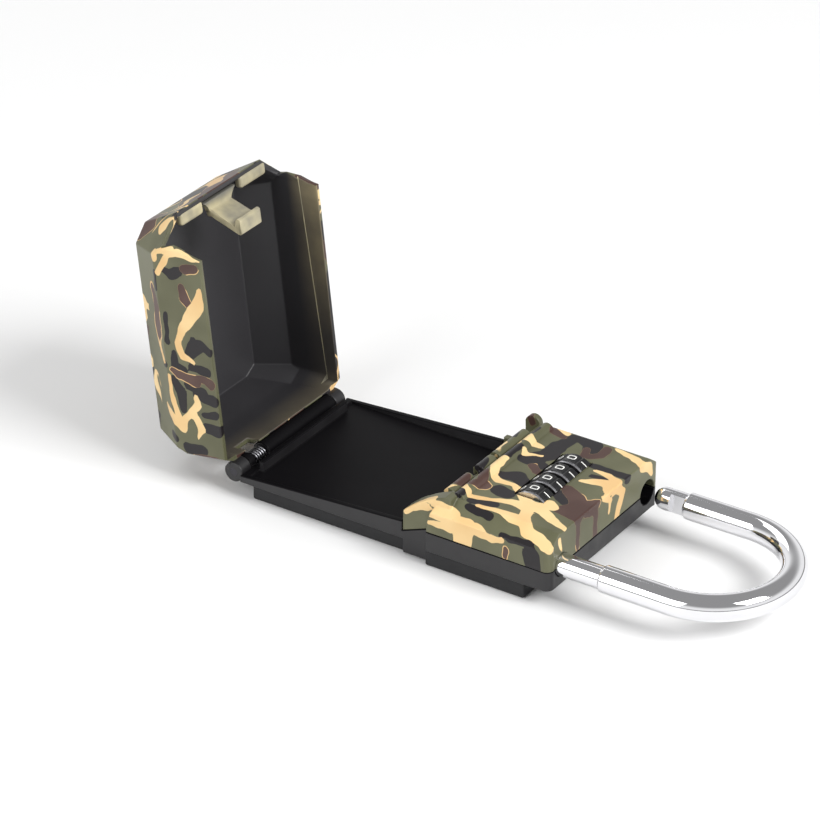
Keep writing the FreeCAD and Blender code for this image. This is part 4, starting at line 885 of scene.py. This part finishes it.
shackle = {
    "leg": 4.2, "groove": 3.0,                      # radii; the bow's is the CAD rod's
    "heelHead": 2.0, "grooveWide": 2.6,             # lengths from the heel on
    "step": 17.0, "tip": 3.7,                       # distances from the head's front
    "knob": 7.2, "notch": 5.7, "notchFlat": 1.9,    # lengths from the tip on, and the notch's flat
    "edge": 0.35, "stepRound": 0.1,
    "turns": 56, "around": 48, "domeSteps": 11, "sharpFrom": 50,
}


def shackleMesh():
    # one bar drawn on ring by ring: the long leg, the bow, the short leg with its notch and dome
    low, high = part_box("shackle")
    rod = (high.z - low.z) / 2 / mm
    half = high.y / mm - rod
    level = (low.z + high.z) / 2 / mm
    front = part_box("lock_cover")[1].x / mm
    bowX = high.x / mm - half - rod
    heel = low.x / mm
    leg, groove, edge = shackle["leg"], shackle["groove"], shackle["edge"]
    step = front + shackle["step"]
    tip = front + shackle["tip"]
    neck = heel + shackle["heelHead"]
    fork = neck + shackle["grooveWide"]
    knobEnd = tip + shackle["knob"]
    notchEnd = knobEnd + shackle["notch"]
    stepUp = [(step - edge, leg), (step, leg + edge / 2), (step + edge, rod - shackle["stepRound"]),
              (step + 2 * edge, rod)]
    longLeg = [(heel + edge, leg), (neck, leg), (neck, groove), (fork, groove), (fork, leg),
               *stepUp, (bowX, rod)]
    shortLeg = [*reversed(stepUp), (notchEnd, leg), (notchEnd, leg), (knobEnd, leg), (knobEnd, leg)]
    for index in range(shackle["domeSteps"]):
        angle = math.pi / 2 * index / shackle["domeSteps"]
        shortLeg.append((tip + leg - leg * math.sin(angle), leg * math.cos(angle)))
    shape = bmesh.new()
    place = Matrix.Translation(Vector((heel, -half, level)) * mm) @ Matrix.Rotation(math.pi / 2, 4, "Y")
    bmesh.ops.create_circle(shape, cap_ends=True, segments=shackle["around"],
                            radius=(leg - edge) * mm, matrix=place)
    end = shape.faces[:] + shape.edges[:] + shape.verts[:]

    def drawn(end, stations, y):
        axis = Vector((0, y, level)) * mm
        rings = []
        for x, radius in stations:
            end = bmesh.ops.extrude_face_region(shape, geom=end)["geom"]
            rings.append([part for part in end if isinstance(part, bmesh.types.BMVert)])
            for vert in rings[-1]:
                away = Vector((0, vert.co.y, vert.co.z)) - axis
                vert.co = axis + away.normalized() * (radius * mm)
                vert.co.x = x * mm
        return end, rings

    end, rings = drawn(end, longLeg, -half)
    end = bmesh.ops.spin(shape, geom=end, cent=Vector((bowX, 0, level)) * mm, axis=(0, 0, 1),
                         angle=math.pi, steps=shackle["turns"])["geom_last"]
    end, rings = drawn(end, shortLeg, half)
    # the notch's two inner rings are pressed flat on the side of the long leg
    inner = shortLeg.index((notchEnd, leg)) + 1
    for vert in rings[inner] + rings[inner + 1]:
        vert.co.y = max(vert.co.y, (half - shackle["notchFlat"]) * mm)
    bmesh.ops.remove_doubles(shape, verts=shape.verts, dist=rounding["cut"] * mm)
    bmesh.ops.recalc_face_normals(shape, faces=shape.faces)
    mesh = blank("shackle_bar", "polishedSteel")
    shape.to_mesh(mesh)
    shape.free()
    return mesh


shackleBar = placed("shackle_bar", shackleMesh(), "shackle")
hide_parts("shackle")
shade(shackleBar, shackle["sharpFrom"])
print("shackle swept")


digitForm = {
    "wide": 2.1, "tall": 2.9, "stroke": 0.42, "raised": 0.03, "sunk": 0.06, "lead": 3.0,
    "step": 36.0, "fineness": 8, "closest": 0.02, "ringEdges": (0.14, 25, 2),
}


def bow(x, y, wide, tall, start, end):
    # points on an oval arc, in parts of the digit's width and height
    count = digitForm["fineness"]
    spots = []
    for index in range(count + 1):
        angle = math.radians(start + (end - start) * index / count)
        spots.append((x + wide * math.cos(angle), y + tall * math.sin(angle)))
    return spots


def straight(*corners):
    spots = []
    for (x0, y0), (x1, y1) in zip(corners, corners[1:]):
        for index in range(digitForm["fineness"]):
            share = index / digitForm["fineness"]
            spots.append((x0 + (x1 - x0) * share, y0 + (y1 - y0) * share))
    return spots + [corners[-1]]


def digitStrokes():
    ring = (bow(0.28, 0.28, 0.28, 0.28, 180, 270) + bow(0.72, 0.28, 0.28, 0.28, 270, 360)
            + bow(0.72, 0.72, 0.28, 0.28, 0, 90) + bow(0.28, 0.72, 0.28, 0.28, 90, 180))
    return [
        [(ring, True)],
        [(straight((0.5, 0), (0.5, 1)), False)],
        [(bow(0.5, 0.70, 0.5, 0.30, 165, -35) + straight((0.75, 0.42), (0, 0), (1, 0)), False)],
        [(bow(0.45, 0.76, 0.45, 0.24, 150, -90) + bow(0.45, 0.26, 0.55, 0.26, 90, -150), False)],
        [(straight((0.75, 0), (0.75, 1), (0, 0.3), (1, 0.3)), False)],
        [(straight((0.95, 1), (0.15, 1), (0.1, 0.55)) + bow(0.45, 0.31, 0.55, 0.31, 120, -150), False)],
        [(bow(0.5, 0.31, 0.5, 0.31, 0, 360)[:-1], True),
         (straight((0.03, 0.40), (0.3, 0.85), (0.75, 1)), False)],
        [(straight((0, 1), (1, 1), (0.35, 0)), False)],
        [(bow(0.5, 0.76, 0.42, 0.24, 0, 360)[:-1], True),
         (bow(0.5, 0.26, 0.5, 0.26, 0, 360)[:-1], True)],
        [(bow(0.5, 0.69, 0.5, 0.31, 0, 360)[:-1], True),
         (straight((0.97, 0.60), (0.7, 0.15), (0.25, 0)), False)],
    ]


def digitsMesh(number):
    # the ten digits wrapped round one dial
    low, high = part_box("dial_%d" % number)
    middle = (low + high) / 2
    radius = (high.z - low.z) / 2 / mm
    shape = bmesh.new()

    def bent(spot, lift, turn):
        angle = turn + spot.y / radius
        reach = (radius + lift) * mm
        return shape.verts.new((middle.x + reach * math.sin(angle), middle.y - spot.x * mm,
                                middle.z + reach * math.cos(angle)))

    for value, strokes in enumerate(digitStrokes()):
        turn = math.radians(digitForm["step"] * value - digitForm["lead"])
        for spots, closed in strokes:
            flat = [Vector(((x - 0.5) * digitForm["wide"], (y - 0.5) * digitForm["tall"]))
                    for x, y in spots]
            flat = [spot for index, spot in enumerate(flat)
                    if index == 0 or (spot - flat[index - 1]).length > digitForm["closest"]]
            count = len(flat)
            rings = []
            for index, spot in enumerate(flat):
                before = flat[index - 1] if index or closed else spot
                after = flat[(index + 1) % count] if index < count - 1 or closed else spot
                heading = (after - before).normalized()
                aside = Vector((-heading.y, heading.x)) * digitForm["stroke"] / 2
                left, right = spot + aside, spot - aside
                raised, sunk = digitForm["raised"], -digitForm["sunk"]
                rings.append([bent(corner, lift, turn) for corner, lift in
                              ((left, raised), (right, raised), (right, sunk), (left, sunk))])
            pairs = list(zip(rings, rings[1:])) + ([(rings[-1], rings[0])] if closed else [])
            for first, second in pairs:
                for side in range(4):
                    after = (side + 1) % 4
                    shape.faces.new((first[side], second[side], second[after], first[after]))
            if not closed:
                shape.faces.new(rings[0])
                shape.faces.new(rings[-1][::-1])
    bmesh.ops.recalc_face_normals(shape, faces=shape.faces)
    mesh = blank("dial_%d_digits" % number, "digitWhite")
    shape.to_mesh(mesh)
    shape.free()
    return mesh


for number in dialNumbers:
    placed("dial_%d_digits" % number, digitsMesh(number), "dial_%d" % number)
    softened("dial_%d" % number, "dial_%d_ring" % number, "dial_%d" % number,
             ("dialBlack",), digitForm["ringEdges"])
print("digits on the dials")


# the horizon and the ceiling are ranges: two heights, then the strengths there
studio = {
    "floorSize": 6.0, "floorTone": 0.86, "floorRoughness": 0.6, "floorShine": 0.2,
    "worldLight": 0.42, "horizon": (0.04, 0.104, 0.12, 1.0), "ceiling": (0.30, 0.60, 1.0, 0.34),
    "aim": (0.0, 0.0, 0.02),
    "lamps": {
        "key": {"place": (1.35, 0.0, 1.2), "size": 0.8, "power": 30},
        "left": {"place": (-0.5, -1.6, 0.9), "size": 1.2, "power": 19},
        "back": {"place": (-1.5, 0.6, 1.5), "size": 1.2, "power": 10},
    },
}


def makeFloor():
    grid = bmesh.new()
    bmesh.ops.create_grid(grid, x_segments=2, y_segments=2, size=studio["floorSize"] / 2)
    data = bpy.data.meshes.new("floor")
    grid.to_mesh(data)
    grid.free()
    floor = bpy.data.objects.new("floor", data)
    bpy.context.scene.collection.objects.link(floor)
    look = Look("floor", (studio["floorTone"],) * 3 + (1,), roughness=studio["floorRoughness"])
    look.give("Specular IOR Level", studio["floorShine"])
    data.materials.append(look.material)


def makeWorld():
    # polished metal sees a bright horizon and a darker ceiling, the camera plain white
    world = bpy.data.worlds.new("studio")
    bpy.context.scene.world = world
    world.use_nodes = True
    sky = Tree(world.node_tree)
    back = sky.tree.nodes["Background"]
    sky.feed(back.inputs["Color"], (1, 1, 1, 1))
    split = sky.add("ShaderNodeSeparateXYZ")
    sky.feed(split.inputs[0], sky.add("ShaderNodeTexCoord").outputs["Generated"])
    height = split.outputs["Z"]
    upper, lower = (sky.ranged(height, *studio[part], interpolation_type="SMOOTHSTEP")
                    for part in ("ceiling", "horizon"))
    path = sky.add("ShaderNodeLightPath")
    level = sky.mix(path.outputs["Is Glossy Ray"], studio["worldLight"],
                    sky.math("MULTIPLY", upper, lower), "FLOAT")
    level = sky.mix(path.outputs["Is Camera Ray"], level, 1.0, "FLOAT")
    sky.feed(back.inputs["Strength"], level)


def makeLamps():
    for name, lamp in studio["lamps"].items():
        data = bpy.data.lights.new(name, "AREA")
        data.size = lamp["size"]
        data.energy = lamp["power"]
        item = bpy.data.objects.new(name, data)
        bpy.context.scene.collection.objects.link(item)
        item.location = lamp["place"]
        look = Vector(studio["aim"]) - Vector(lamp["place"])
        item.rotation_euler = look.to_track_quat("-Z", "Y").to_euler()


makeFloor()
makeWorld()
makeLamps()
print("studio ready")
